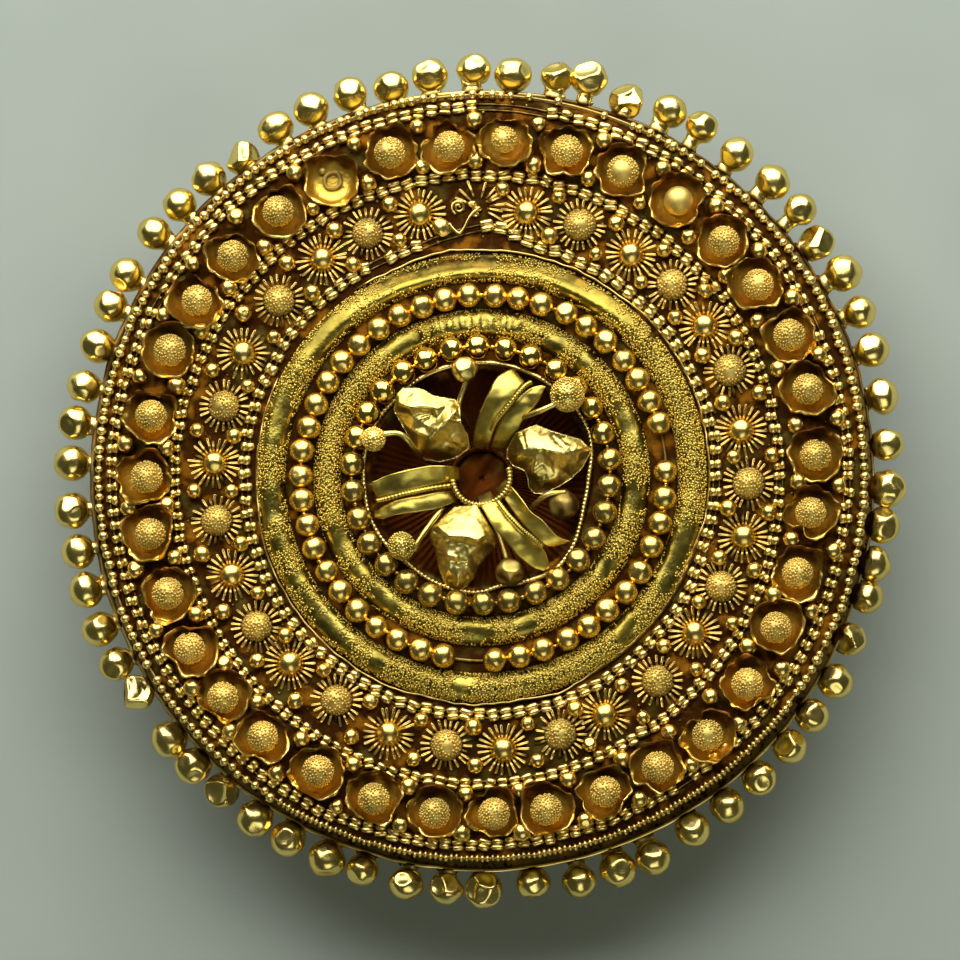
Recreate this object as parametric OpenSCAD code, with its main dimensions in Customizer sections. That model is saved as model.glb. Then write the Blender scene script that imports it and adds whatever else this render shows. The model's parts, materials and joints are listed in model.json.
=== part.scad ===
// Large gold ear stud: a hollow box-shaped disc with rings of beads, flower cups,
// sunburst rosettes and round bands about an open bowl that holds a flower with
// animal heads. It rests face up on the flared foot of its post.
// Axis of the disc along +Z, foot on z = 0, top of the face towards +Y, millimetres.

/* [Post] */
// Height of the back plate over the foot
post_h = 9; // [8:0.5:12]
// Radius of the round shank that passes through the ear lobe
shank_r = 3.7; // [3.5:0.1:3.9]
// Radius of the hollow in the post
bore_r = 3.2; // [2.4:0.1:3.3]
// Radius of the flared foot
foot_r = 8; // [7:0.5:10]
// Thickness of the foot at its edge
foot_t = 0.6; // [0.5:0.1:1]
// Height at which the flare meets the shank
flare_h = 1.6; // [1.4:0.1:2]

/* [Disc] */
// Thickness of the sheet
sheet_t = 0.4; // [0.3:0.05:0.45]
// Radius of the back plate, whose edge stands out as a flange
flange_r = 31.3; // [31.1:0.1:31.35]
// Radius of the upright wall
wall_r = 30.6; // [30.5:0.05:30.8]
// Height of the wall
wall_h = 3.2; // [3:0.1:4]
// Gap left between neighbouring pieces
seam = 0.05; // [0.04:0.01:0.06]

/* [Bands and bowl] */
// Middle radius of the outer round band
outer_band_r = 16.88; // [16.86:0.01:16.9]
// Half width and height of the outer round band
outer_band_h = 1.12; // [1.05:0.01:1.14]
// Middle radius of the inner round band
inner_band_r = 12.37; // [12.3:0.01:12.4]
// Half width and height of the inner round band
inner_band_h = 1.07; // [1:0.01:1.1]
// Inner radius of the thin collar outside the bands
collar_r = 18.1; // [18.06:0.01:18.15]
// Height of the collar over the front
collar_h = 0.6; // [0.3:0.1:0.7]
// Radius of the mouth of the bowl
mouth_r = 8.95; // [8.9:0.01:9]
// Radius of the flat floor of the bowl
bowl_floor_r = 2.9; // [2.8:0.05:3]
// Height of the bowl's floor over the back plate
bowl_floor_h = 0.5; // [0.5:0.01:0.55]

/* [Bead rings] */
// Number of hollow beads round the edge
rim_count = 62; // [60:2:62]
// Radius of the circle that the edge beads stand on
rim_ring_r = 32.75; // [32.7:0.05:32.8]
// Radius of one edge bead
rim_bead_r = 1.28; // [1.2:0.01:1.3]
// Places in the outer ring of spheres
outer_count = 46; // [44:1:46]
// Middle radius of the outer ring of spheres
outer_ring_r = 14.8; // [14.75:0.01:14.8]
// Radius of one outer sphere
outer_sphere_r = 0.86; // [0.8:0.01:0.88]
// Spheres in the inner ring
inner_count = 30; // [28:1:30]
// Middle radius of the inner ring of spheres
inner_ring_r = 10.3; // [10.28:0.01:10.32]
// Radius of one inner sphere
inner_sphere_r = 0.9; // [0.85:0.01:0.91]
// Radius of the wire that strings a ring of spheres
string_r = 0.25; // [0.2:0.01:0.3]

/* [Wires] */
// Middle radius of the beaded wire on the rim
rim_wire_ring_r = 30.55; // [30.54:0.01:30.57]
// Radius of that wire
rim_wire_r = 0.3; // [0.25:0.01:0.31]
// Middle radius of the outer double wire
outer_line_r = 29.72; // [29.7:0.01:29.72]
// Middle radius of the middle double wire
middle_line_r = 24.32; // [24.3:0.01:24.34]
// Middle radius of the inner double wire
inner_line_r = 19.1; // [19.08:0.01:19.1]
// Radius of each of the two wires in a line
line_wire_r = 0.24; // [0.2:0.01:0.24]
// Middle radius of the wire round the mouth of the bowl
mouth_wire_ring_r = 9.2; // [9.18:0.01:9.2]
// Radius of that wire
mouth_wire_r = 0.18; // [0.12:0.01:0.19]

/* [Cups] */
// Number of flower cups
cup_count = 35; // [33:1:35]
// Middle radius of the row of cups
cup_row_r = 27; // [26.98:0.01:27.02]
// Mean radius of a cup's scalloped rim
cup_rim_r = 2.08; // [1.95:0.01:2.1]
// Height of a cup
cup_h = 1.3; // [1.2:0.05:1.5]
// Lobes in a cup's rim
cup_lobes = 8; // [6:1:8]
// Radius of the ball in a cup
cup_ball_r = 1.35; // [1.2:0.01:1.36]

/* [Rosettes] */
// Number of rosettes
rosette_count = 30; // [28:2:30]
// Middle radius of the row of rosettes
rosette_row_r = 21.4; // [21.39:0.01:21.42]
// Reach of a rosette's rays
ray_reach = 1.77; // [1.6:0.01:1.78]
// Rays in a rosette
ray_count = 22; // [16:1:24]
// Radius of a plain dome
plain_dome_r = 1; // [0.9:0.05:1.05]
// Radius of a grained dome
grained_dome_r = 1.18; // [1.1:0.01:1.2]
// Radius of the small granules between cups and between rosettes
granule_r = 0.57; // [0.5:0.01:0.58]

/* [Flower] */
// Outer radius of the tube that carries the flower
tube_r = 2.55; // [2.5:0.01:2.56]
// Inner radius of that tube
tube_bore_r = 1.9; // [1.6:0.05:2]
// Height of the tube's end over the front of the disc
tube_top_h = 0.9; // [0.6:0.1:1]
// Middle radius of the beaded ring on the tube
centre_ring_r = 2.24; // [2.2:0.01:2.26]
// Radius of that ring's wire
centre_wire_r = 0.22; // [0.18:0.01:0.24]
// Thickness of a leaf
leaf_t = 0.3; // [0.25:0.01:0.35]
// Radius of a stalk's wire
stalk_r = 0.22; // [0.18:0.01:0.23]

/* [Hidden] */
$fn = 72;

plate_top = post_h + sheet_t;
front_z = plate_top + wall_h;
bowl_floor_z = plate_top + bowl_floor_h;
bowl_depth = front_z - bowl_floor_z;
bowl_run = mouth_r - bowl_floor_r;
bowl_arc_r = (bowl_run * bowl_run + bowl_depth * bowl_depth) / (2 * bowl_depth);

// Where each row starts, in degrees from the right of the face
rim_start = 4.7;
outer_start = 0.6;
inner_start = 7;
cup_start = 3.9;
rosette_start = 9.8;

// How far the hand-set rows stray from an even spacing: angle round the face, shift in degrees
CUP_DRIFT = [[0, 0.3], [15, 0.9], [45, -0.7], [100, -1.1], [138, 0.5], [170, 0.8], [210, 0.6],
             [230, -0.2], [262, 1], [285, 0], [312, -0.9], [335, 0], [360, 0.3]];
ROSETTE_DRIFT = [[0, 1.6], [23, 1.5], [34, 0.3], [56, -1.7], [92, -2.3], [128, -3.5], [152, -1.4],
                 [202, -0.4], [230, -1.2], [250, 0.3], [311, 1.5], [345, 1.4], [360, 1.6]];
OUTER_DRIFT = [[0, 0.8], [95, -0.2], [180, -1.3], [250, -1.1], [330, -0.5], [360, 0.8]];
NO_DRIFT = [[0, 0], [360, 0]];

// Places that have lost their piece
lost_outer_spheres = [1, 34];
lost_cup_ball = 11;
lost_rosette = 7;

cup_floor_t = 0.25;
cup_lip_t = 0.14;
// Radii and heights along a cup's wall, outside from the foot up, then inside down
CUP_WALL = [[1.0, 0, 0], [1.75, 0.5, 0.3], [cup_rim_r, cup_h, 1],
            [cup_rim_r - cup_lip_t, cup_h, 1], [1.6, 0.62, 0.3], [0.85, cup_floor_t, 0]];
cup_lobe = 0.1;
cup_foot_r = 0.7;
cup_ball_seat = 0.62;
cup_ball_centre = 0.95;
rosette_t = 0.35;
collar_t = 0.2;

// Half distance between the two wires of a line, as a share of a wire's radius
line_spacing = 0.92;
// Strip that joins the edge beads
rim_strip_w = 0.9;
rim_strip_t = 0.3;
ray_root = 0.64;
dome_lift = 0.2;

// Middle radii of the two sides of the granule rows
cup_granule_rings = [28.6, 25.42];
rosette_granule_rings = [23.2, 20.16];

// Angles of the leaf pairs and of the heads
LEAF_ANGLES = [69, 195.5, 309];
HEAD_ANGLES = [10.7, 132, 256];
// Stalk balls: angle, distance from the axis, radius of the ball, height over the front
STALKS = [
    [41, 9.1, 1.35, 3.05],
    [98, 8.7, 1.05, 2.3],
    [160.5, 9.1, 0.95, 2.55],
    [222, 8.4, 1.1, 1.9],
    [287, 8, 1.15, 1],
    [341, 7.05, 1.28, 0.8]
];
stalk_root_r = 2.92;
stalk_bend_r = 3.4;

leaf_root_r = 2.65;
leaf_top_h = 1.9;
leaf_crown_r = 5.9;
leaf_arch_r = 4.23;
leaf_arch_w = 6;
midrib_r = 0.2;
// First direction and sweep of the arched midrib, about the middle of its arch
midrib_from = 50;
midrib_sweep = 82;
// Outline of one leaf of a pair, from the axis outwards and away from the midrib
LEAF_EDGE = [[leaf_root_r, 0.05], [8.2, 0.05], [8.85, 0.9], [8.1, 1.72], [5.5, 1.72],
             [leaf_root_r, 0.8]];

// Balls that a head is drawn over: distance out, half spread, height over the front, radius
HEAD_FORM = [[3.34, 0.1, 0.8, 0.65], [5.3, 0.6, 1.45, 1.45], [8, 0.25, 1.25, 0.8]];
// Ball at the root and at the tip of an ear, in the same order
EAR_FORM = [[4.7, 1.35, 2.4, 0.42], [4.2, 1.75, 2.95, 0.22]];
head_facets = 16;

// Children at a distance r from the axis, in the direction a
module at(r, a) rotate([0, 0, a]) translate([r, 0, 0]) children();

// Direction of place k in a row of hand-set pieces
function place(k, count, start, drift) =
    let (even = start + k * 360 / count) even + lookup(even % 360, drift);

module wire_ring(r, z, wire_r) translate([0, 0, z]) rotate_extrude() translate([r, 0]) circle(r = wire_r);

// Two round wires side by side, soldered together along their length
module double_wire(r) translate([0, 0, front_z + seam + line_wire_r]) rotate_extrude()
    for (side = [-1, 1]) translate([r + side * line_spacing * line_wire_r, 0]) circle(r = line_wire_r);

module post() color("goldenrod") rotate_extrude()
    polygon([[bore_r, 0], [foot_r, 0], [foot_r, foot_t], [shank_r, flare_h],
             [shank_r, post_h], [bore_r, post_h]]);

module back_plate() color("darkgoldenrod") translate([0, 0, post_h]) cylinder(r = flange_r, h = sheet_t);

module body_section(inset, drop) {
    translate([0, plate_top - drop]) square([wall_r - inset, wall_h - inset + drop]);
    translate([outer_band_r, front_z]) circle(r = outer_band_h - inset);
    translate([inner_band_r, front_z]) circle(r = inner_band_h - inset);
}

module bowl_section(growth) {
    translate([bowl_floor_r, bowl_floor_z + bowl_arc_r]) circle(r = bowl_arc_r + growth);
    translate([0, bowl_floor_z - growth]) square([bowl_floor_r, bowl_arc_r]);
}

module front_disc() color("goldenrod") rotate_extrude() difference() {
    union() {
        body_section(0, 0);
        translate([collar_r, front_z - sheet_t]) square([collar_t, sheet_t + collar_h]);
    }
    bowl_section(0);
    difference() {
        body_section(sheet_t, 1);
        bowl_section(sheet_t);
    }
}

module rim_beads() color("gold") translate([0, 0, post_h + sheet_t / 2]) {
    for (k = [0 : rim_count - 1])
        at(rim_ring_r, place(k, rim_count, rim_start, NO_DRIFT)) sphere(r = rim_bead_r);
    rotate_extrude() translate([flange_r + seam, -rim_strip_t / 2]) square([rim_strip_w, rim_strip_t]);
}

module rim_wire() color("gold") wire_ring(rim_wire_ring_r, front_z + seam + rim_wire_r, rim_wire_r);
module outer_line() color("gold") double_wire(outer_line_r);
module middle_line() color("gold") double_wire(middle_line_r);
module inner_line() color("gold") double_wire(inner_line_r);

// One cup: a flaring wall with a scalloped rim, closed by a small flat floor
module cup() {
    sides = 2 * cup_lobes;
    points = [for (row = CUP_WALL, i = [0 : sides - 1])
        let (r = row[0] + cup_lobe * row[2] * (i % 2 == 0 ? 1 : -1), a = 360 * i / sides)
            [r * cos(a), r * sin(a), row[1]]];
    last = (len(CUP_WALL) - 1) * sides;
    walls = [for (j = [0 : len(CUP_WALL) - 2], i = [0 : sides - 1])
        let (a = j * sides + i, b = j * sides + (i + 1) % sides) [a, a + sides, b + sides, b]];
    polyhedron(points, concat([[for (i = [0 : sides - 1]) i]], walls,
                              [[for (i = [0 : sides - 1]) last + sides - 1 - i]]));
}

module cups() color("darkorange") for (k = [0 : cup_count - 1])
    at(cup_row_r, place(k, cup_count, cup_start, CUP_DRIFT)) translate([0, 0, front_z + seam]) cup();

module cup_balls() color("gold") for (k = [0 : cup_count - 1]) if (k != lost_cup_ball)
    at(cup_row_r, place(k, cup_count, cup_start, CUP_DRIFT)) translate([0, 0, front_z + seam]) {
        intersection() {
            translate([0, 0, cup_ball_centre]) sphere(r = cup_ball_r);
            translate([0, 0, cup_ball_seat]) cylinder(r = 2 * cup_ball_r, h = 2 * cup_ball_r);
        }
        translate([0, 0, cup_floor_t + seam]) cylinder(r = cup_foot_r, h = cup_ball_centre);
    }

// Granules half way between the places of a row, on a ring inside it and one outside it
module granule_rows(rings, count, start, drift) for (r = rings, k = [0 : count - 1])
    at(r, place(k + 0.5, count, start, drift)) translate([0, 0, front_z + seam + granule_r])
        sphere(r = granule_r);

module cup_granules() color("gold") granule_rows(cup_granule_rings, cup_count, cup_start, CUP_DRIFT);
module rosette_granules() color("gold")
    granule_rows(rosette_granule_rings, rosette_count, rosette_start, ROSETTE_DRIFT);

// One rosette: a thin plate of pointed rays with a dome on it
module rosette(dome_r) {
    linear_extrude(rosette_t)
        polygon([for (i = [0 : 2 * ray_count - 1])
            let (r = ray_reach * (i % 2 == 0 ? 1 : ray_root), a = 180 * i / ray_count)
                [r * cos(a), r * sin(a)]]);
    intersection() {
        translate([0, 0, rosette_t + dome_lift]) sphere(r = dome_r);
        cylinder(r = 2 * dome_r, h = 3 * dome_r);
    }
}

module rosettes() color("gold") for (k = [0 : rosette_count - 1]) if (k != lost_rosette)
    at(rosette_row_r, place(k, rosette_count, rosette_start, ROSETTE_DRIFT))
        translate([0, 0, front_z + seam]) rosette(k % 2 == 0 ? plain_dome_r : grained_dome_r);

// Spheres strung on a round wire, with the lost places left empty
module strung_spheres(ring_r, count, start, drift, r, lost) translate([0, 0, front_z + seam + r]) {
    for (k = [0 : count - 1]) if (len(search(k, lost)) == 0)
        at(ring_r, place(k, count, start, drift)) sphere(r = r);
    rotate_extrude() translate([ring_r, 0]) circle(r = string_r);
}

module outer_spheres() color("gold")
    strung_spheres(outer_ring_r, outer_count, outer_start, OUTER_DRIFT, outer_sphere_r, lost_outer_spheres);
module inner_spheres() color("gold")
    strung_spheres(inner_ring_r, inner_count, inner_start, NO_DRIFT, inner_sphere_r, []);
module mouth_wire() color("gold") wire_ring(mouth_wire_ring_r, front_z + seam + mouth_wire_r, mouth_wire_r);

module flower_tube() color("sienna") translate([0, 0, bowl_floor_z + seam]) difference() {
    height = bowl_depth + tube_top_h - seam;
    cylinder(r = tube_r, h = height);
    translate([0, 0, -1]) cylinder(r = tube_bore_r, h = height + 2);
}

module centre_ring() color("gold")
    wire_ring(centre_ring_r, front_z + tube_top_h + seam + centre_wire_r, centre_wire_r);

// Two arched leaves side by side with a round midrib between them
module leaf_pair(angle) color("goldenrod") rotate([0, 0, angle])
    translate([leaf_crown_r, 0, front_z + leaf_top_h - leaf_arch_r]) rotate([90, 0, 0]) {
        intersection() {
            difference() {
                cylinder(r = leaf_arch_r, h = leaf_arch_w, center = true);
                cylinder(r = leaf_arch_r - leaf_t, h = leaf_arch_w + 1, center = true);
            }
            rotate([-90, 0, 0]) translate([-leaf_crown_r, 0, 0]) linear_extrude(2 * leaf_arch_r) {
                polygon(LEAF_EDGE);
                mirror([0, 1]) polygon(LEAF_EDGE);
            }
        }
        rotate([0, 0, midrib_from]) rotate_extrude(angle = midrib_sweep)
            translate([leaf_arch_r, 0]) circle(r = midrib_r);
    }

module leaf_pair_1() leaf_pair(LEAF_ANGLES[0]);
module leaf_pair_2() leaf_pair(LEAF_ANGLES[1]);
module leaf_pair_3() leaf_pair(LEAF_ANGLES[2]);

// A ball from a form table's row, on the given side of the head
module form_ball(row, side)
    translate([row[0], side * row[1], front_z + row[2]]) sphere(r = row[3], $fn = head_facets);

// A crumpled animal head that faces outwards, with two ears
module head(angle) color("gold") rotate([0, 0, angle]) {
    hull() for (row = HEAD_FORM, side = [-1, 1]) form_ball(row, side);
    for (side = [-1, 1]) hull() for (row = EAR_FORM) form_ball(row, side);
}

module head_1() head(HEAD_ANGLES[0]);
module head_2() head(HEAD_ANGLES[1]);
module head_3() head(HEAD_ANGLES[2]);

// A ball on a wire that rises beside the flower tube and bends outwards
module stalk_ball(row) color("gold") rotate([0, 0, row[0]]) {
    z = front_z + row[3];
    bend_x = stalk_root_r + stalk_bend_r;
    translate([bend_x, 0, z - stalk_bend_r]) rotate([90, 0, 0]) rotate([0, 0, 90])
        rotate_extrude(angle = 90) translate([stalk_bend_r, 0]) circle(r = stalk_r);
    translate([bend_x, 0, z]) rotate([0, 90, 0]) cylinder(r = stalk_r, h = row[1] - bend_x);
    translate([row[1], 0, z]) sphere(r = row[2]);
}

module stalk_ball_1() stalk_ball(STALKS[0]);
module stalk_ball_2() stalk_ball(STALKS[1]);
module stalk_ball_3() stalk_ball(STALKS[2]);
module stalk_ball_4() stalk_ball(STALKS[3]);
module stalk_ball_5() stalk_ball(STALKS[4]);
module stalk_ball_6() stalk_ball(STALKS[5]);

post();
back_plate();
front_disc();
rim_beads();
rim_wire();
outer_line();
cups();
cup_balls();
cup_granules();
middle_line();
rosettes();
rosette_granules();
inner_line();
outer_spheres();
inner_spheres();
mouth_wire();
flower_tube();
centre_ring();
leaf_pair_1();
leaf_pair_2();
leaf_pair_3();
head_1();
head_2();
head_3();
stalk_ball_1();
stalk_ball_2();
stalk_ball_3();
stalk_ball_4();
stalk_ball_5();
stalk_ball_6();
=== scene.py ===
# Looks of the gold disc ear stud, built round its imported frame. Lengths are in millimetres until cast.
import functools
import json
import math

import bmesh
import bpy
import numpy as np
from mathutils import Matrix, Vector
from mathutils.geometry import delaunay_2d_cdt

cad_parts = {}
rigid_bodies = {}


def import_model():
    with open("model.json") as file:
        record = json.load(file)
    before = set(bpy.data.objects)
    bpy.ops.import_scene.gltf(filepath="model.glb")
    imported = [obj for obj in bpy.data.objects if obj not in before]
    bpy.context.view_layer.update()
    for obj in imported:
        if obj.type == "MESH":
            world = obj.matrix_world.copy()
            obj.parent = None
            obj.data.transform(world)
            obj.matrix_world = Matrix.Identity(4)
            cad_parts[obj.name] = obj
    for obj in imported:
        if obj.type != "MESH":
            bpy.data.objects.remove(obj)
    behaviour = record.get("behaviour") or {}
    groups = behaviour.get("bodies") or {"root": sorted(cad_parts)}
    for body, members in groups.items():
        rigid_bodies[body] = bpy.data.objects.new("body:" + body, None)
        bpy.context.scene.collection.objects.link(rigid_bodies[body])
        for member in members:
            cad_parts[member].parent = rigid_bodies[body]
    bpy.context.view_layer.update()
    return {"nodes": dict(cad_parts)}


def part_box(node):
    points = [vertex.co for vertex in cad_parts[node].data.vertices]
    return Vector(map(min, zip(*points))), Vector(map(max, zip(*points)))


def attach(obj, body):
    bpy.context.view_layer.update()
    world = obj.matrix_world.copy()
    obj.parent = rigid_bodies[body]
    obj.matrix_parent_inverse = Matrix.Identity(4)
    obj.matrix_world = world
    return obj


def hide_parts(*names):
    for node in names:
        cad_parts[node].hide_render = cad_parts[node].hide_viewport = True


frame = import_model()

MM = 0.001
SEAM = 0.05


def corner(node, high=True):
    """The highest (or lowest) corner of a node of the frame, in millimetres."""
    return np.array(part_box(node)[1 if high else 0]) / MM


# Heights and radii that the frame gives
PLATE = corner("back_plate")[2]
FRONT = corner("cups", high=False)[2] - SEAM
FLANGE_R = corner("back_plate")[0]
WALL_R = corner("front_disc")[0]
TUBE_R = corner("flower_tube")[0]
TUBE_TOP = corner("flower_tube")[2]
BEAD_Z = (corner("back_plate")[2] + corner("back_plate", high=False)[2]) / 2

# Sheet and bands of the face
SHEET_T = 0.4
COLLAR_R = 18.1
MOUTH_R = 8.95
FLOOR_R = 2.9
FLOOR_Z = PLATE + 0.5
OUTER_BAND = (16.88, 1.12)
INNER_BAND = (12.37, 1.07)

# Camera: distance from the face, its lean towards the bottom and the right, and the scale of the photo
CAMERA_FAR = 750
CAMERA_DOWN = 4.5
CAMERA_RIGHT = 3
PHOTO_SIDE = 960
PX_PER_MM = 12.5
SENSOR = 36
AIM = np.array([-0.12, -0.216, FRONT])
# Pixel of the photo that the charted rows are measured about
CHART_CENTRE = (480, 478)


def unit(vector):
    vector = np.asarray(vector, float)
    return vector / np.linalg.norm(vector)


BACKWARD = unit([math.sin(math.radians(CAMERA_RIGHT)), -math.sin(math.radians(CAMERA_DOWN)), 1])
RIGHTWARD = unit(np.cross([0, 1, 0], BACKWARD))
UPWARD = np.cross(BACKWARD, RIGHTWARD)
EYE = AIM + CAMERA_FAR * BACKWARD


def seen_px(u, v, height):
    """The points at heights over the ground that the photo shows at pixels u, v."""
    across = np.asarray(u)[..., None] - PHOTO_SIDE / 2
    up = PHOTO_SIDE / 2 - np.asarray(v)[..., None]
    target = AIM + (RIGHTWARD * across + UPWARD * up) / PX_PER_MM
    share = (np.asarray(height)[..., None] - EYE[2]) / (target[..., 2:] - EYE[2])
    return EYE + share * (target - EYE)


def seen(angle, radius_px, height):
    """The points at heights that the photo shows at charted angles and distances in pixels."""
    turn = np.radians(angle)
    u = CHART_CENTRE[0] + radius_px * np.cos(turn)
    v = CHART_CENTRE[1] - radius_px * np.sin(turn)
    return seen_px(u, v, height)


# Metal finishes

class Value:
    """A number on a socket of a finish, with arithmetic that adds Math nodes."""

    def __init__(self, finish, socket):
        self.finish = finish
        self.socket = socket

    def join(self, operation, first, second):
        return self.finish.value("ShaderNodeMath", {"operation": operation}, {0: first, 1: second})

    def __add__(self, other):
        return self.join("ADD", self, other)

    def __sub__(self, other):
        return self.join("SUBTRACT", self, other)

    def __rsub__(self, other):
        return self.join("SUBTRACT", other, self)

    def __mul__(self, other):
        return self.join("MULTIPLY", self, other)

    def __truediv__(self, other):
        return self.join("DIVIDE", self, other)

    __radd__ = __add__
    __rmul__ = __mul__

    def clipped(self):
        return self.finish.value("ShaderNodeClamp", {}, {"Value": self})

    def above(self, edge, sharpness):
        """0 below an edge, and from there up to 1 the faster the sharper it is."""
        return ((self - edge) * sharpness).clipped()

    def below(self, edge, sharpness):
        return ((edge - self) * sharpness).clipped()


class Finish:
    """A metal finish: one Principled shader and the nodes that vary it."""

    def __init__(self, name):
        self.material = bpy.data.materials.new(name)
        self.material.use_nodes = True
        self.tree = self.material.node_tree
        self.shader = self.tree.nodes["Principled BSDF"]
        self.spot = self.node("ShaderNodeTexCoord").outputs["Object"]
        height = self.node("ShaderNodeSeparateXYZ", {}, {"Vector": self.spot}).outputs["Z"]
        self.height = Value(self, height) / MM
        in_plan = {0: self.spot, 1: (1, 1, 0)}
        flat = self.node("ShaderNodeVectorMath", {"operation": "MULTIPLY"}, in_plan).outputs[0]
        self.reach = self.value("ShaderNodeVectorMath", {"operation": "LENGTH"}, {0: flat}, "Value") / MM

    def node(self, kind, settings=None, inputs=None):
        made = self.tree.nodes.new(kind)
        for name, setting in (settings or {}).items():
            setattr(made, name, setting)
        for name, given in (inputs or {}).items():
            given = given.socket if isinstance(given, Value) else given
            if isinstance(given, bpy.types.NodeSocket):
                self.tree.links.new(given, made.inputs[name])
            else:
                made.inputs[name].default_value = given
        return made

    def value(self, kind, settings, inputs, output=0):
        return Value(self, self.node(kind, settings, inputs).outputs[output])

    def noise(self, size, detail=2.0):
        """Smooth noise from 0 to 1 whose blotches are about `size` millimetres wide."""
        sockets = {"Vector": self.spot, "Scale": 1 / (size * MM), "Detail": detail}
        return self.value("ShaderNodeTexNoise", {}, sockets)

    def cells(self, size):
        """Distance from the middles of cells that are about `size` millimetres wide."""
        sockets = {"Vector": self.spot, "Scale": 1 / (size * MM)}
        return self.value("ShaderNodeTexVoronoi", {}, sockets, "Distance")

    def stored(self, name):
        """A share that is stored at the points of the piece."""
        return self.value("ShaderNodeAttribute", {"attribute_name": name}, {}, "Fac")

    def blend(self, factor, first, second):
        mix = self.node("ShaderNodeMix", {"data_type": "RGBA"}, {"Factor": factor})
        for name, colour in (("A", first), ("B", second)):
            socket = [s for s in mix.inputs if s.name == name and s.type == "RGBA"][0]
            if isinstance(colour, bpy.types.NodeSocket):
                self.tree.links.new(colour, socket)
            else:
                socket.default_value = (*colour, 1)
        return [s for s in mix.outputs if s.type == "RGBA"][0]

    def feed(self, name, given):
        self.tree.links.new(given.socket if isinstance(given, Value) else given, self.shader.inputs[name])


WORN_GOLD = (0.92, 0.65, 0.19)
OLIVE_GOLD = (0.50, 0.42, 0.10)
WARM_GOLD = (0.90, 0.50, 0.07)
SOIL_BROWN = (0.05, 0.016, 0.002)
RUST_ORANGE = (0.34, 0.135, 0.009)
DULL_OLIVE = (0.12, 0.095, 0.016)
BOWL_BROWN = (0.105, 0.026, 0.003)
POWDER_OLIVE = (0.62, 0.49, 0.09)
EDGE_TINT = (1.0, 0.80, 0.42)
# Widths of the patches of rust and soil, of the speckle, of the dull patches and of the powder's grains
PATCH = 1.9
SPECKLE = 0.5
DULL_PATCH = 2.4
POWDER_CELL = 0.19
FINE_DETAIL = 3.0


def gold_finish(name, worn=WORN_GOLD, soil=SOIL_BROWN, rust=RUST_ORANGE, clean_from=0.0, clean_to=0.75,
                roughness=0.26, blotch=4.0, olive=0.35, warm=0.35, dull=0.0, earthy=0.85, grit=0.12,
                grit_depth=0.012, powder=None, painted_shade=None, lip=None, pit=False, shaded_above=None,
                darkened_inside=None):
    """Old soldered gold: worn bright on top, soil and rust-red patches low down, olive and warm blotches.

    Heights are over the face: soil lies below `clean_from` and none above `clean_to`. The shares `olive`,
    `warm` and `dull` tint the metal. `powder` names a stored share of powder; the other stored share is
    painted shade, which darkens the metal to the soil colour.
    """
    finish = Finish(name)
    blotches = finish.noise(blotch)
    patches = finish.noise(PATCH, FINE_DETAIL)
    speckle = finish.noise(SPECKLE, FINE_DETAIL)
    over_soil = (finish.height - (FRONT + clean_from)) / (clean_to - clean_from)
    clean = (over_soil + (speckle - 0.5) * 0.9).clipped()
    metal = finish.blend(blotches.above(0.42, 4) * olive, worn, OLIVE_GOLD)
    metal = finish.blend(speckle.above(0.5, 3) * warm, metal, WARM_GOLD)
    if dull:
        metal = finish.blend(finish.noise(DULL_PATCH, FINE_DETAIL).above(0.45, 5) * dull, metal, DULL_OLIVE)
    if lip:
        high, rubbed = finish.height.above(FRONT + lip, 5), patches.above(0.42, 9)
        metal = finish.blend(high * rubbed, metal, WORN_GOLD)
        clean = clean * (1 - high * (1 - rubbed) * 0.8)
    relief = finish.noise(grit, FINE_DETAIL)
    if powder:
        share, cells = finish.stored(powder), finish.cells(POWDER_CELL)
        metal = finish.blend(share * 0.8, metal, POWDER_OLIVE)
        # Dark gaps between the painted grains: soil there, and painted shade for the shade the grains cast
        metal = finish.blend((cells * 2.6 - 0.75).clipped() * share * 0.9, metal, SOIL_BROWN)
        relief = relief + (1 - cells * 1.3) * share * 1.6
    dirt = finish.blend(patches.above(0.54, 9) * 0.85, soil, rust)
    dirt = finish.blend(patches.below(0.45, 8) * 0.7, dirt, DULL_OLIVE)
    if pit:
        # The bowl is darker than the face; the wall outside is as clean as the bands
        dirt = finish.blend(finish.height.below(FRONT - 0.1, 1 / 0.9), dirt, BOWL_BROWN)
        outside = finish.reach.above(WALL_R - 0.25, 5) * finish.height.below(FRONT - 0.1, 8)
        clean = (clean + outside * 0.8).clipped()
    # Painted shade: a stored share darkens the metal to the soil colour
    if painted_shade:
        clean = clean * (1 - finish.stored(painted_shade))
    # Painted shade: the metal above this height, the back plate's top, is darkened to the soil colour
    if shaded_above:
        clean = clean * (1 - finish.height.above(shaded_above, 20))
    # Inside this radius, on the beads' necks and inner sides, the metal is darkened to the soil colour
    if darkened_inside:
        clean = clean * ((finish.reach - darkened_inside) * 2.5 + (speckle - 0.5)).clipped()
    finish.feed("Base Color", finish.blend(clean, dirt, metal))
    finish.feed("Roughness", roughness + (1 - clean) * 0.22 + (speckle - 0.5) * 0.2)
    finish.feed("Metallic", earthy + clean * (1 - earthy))
    finish.shader.inputs["Specular Tint"].default_value = (*EDGE_TINT, 1)
    finish.shader.inputs["Specular IOR Level"].default_value = 0.15
    bump = finish.node("ShaderNodeBump", {}, {"Strength": 0.6, "Distance": grit_depth * MM, "Height": relief})
    finish.feed("Normal", bump.outputs["Normal"])
    return finish.material


# Forms: each is an array of points and an array of faces with four corners, the last repeated in a triangle

@functools.cache
def ball(level):
    """A round ball of radius 1 made of equal triangles."""
    made = bmesh.new()
    bmesh.ops.create_icosphere(made, subdivisions=level, radius=1)
    points = np.array([v.co for v in made.verts])
    faces = np.array([[v.index for v in f.verts] for f in made.faces])
    made.free()
    return points, np.column_stack([faces, faces[:, 2]])


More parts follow.
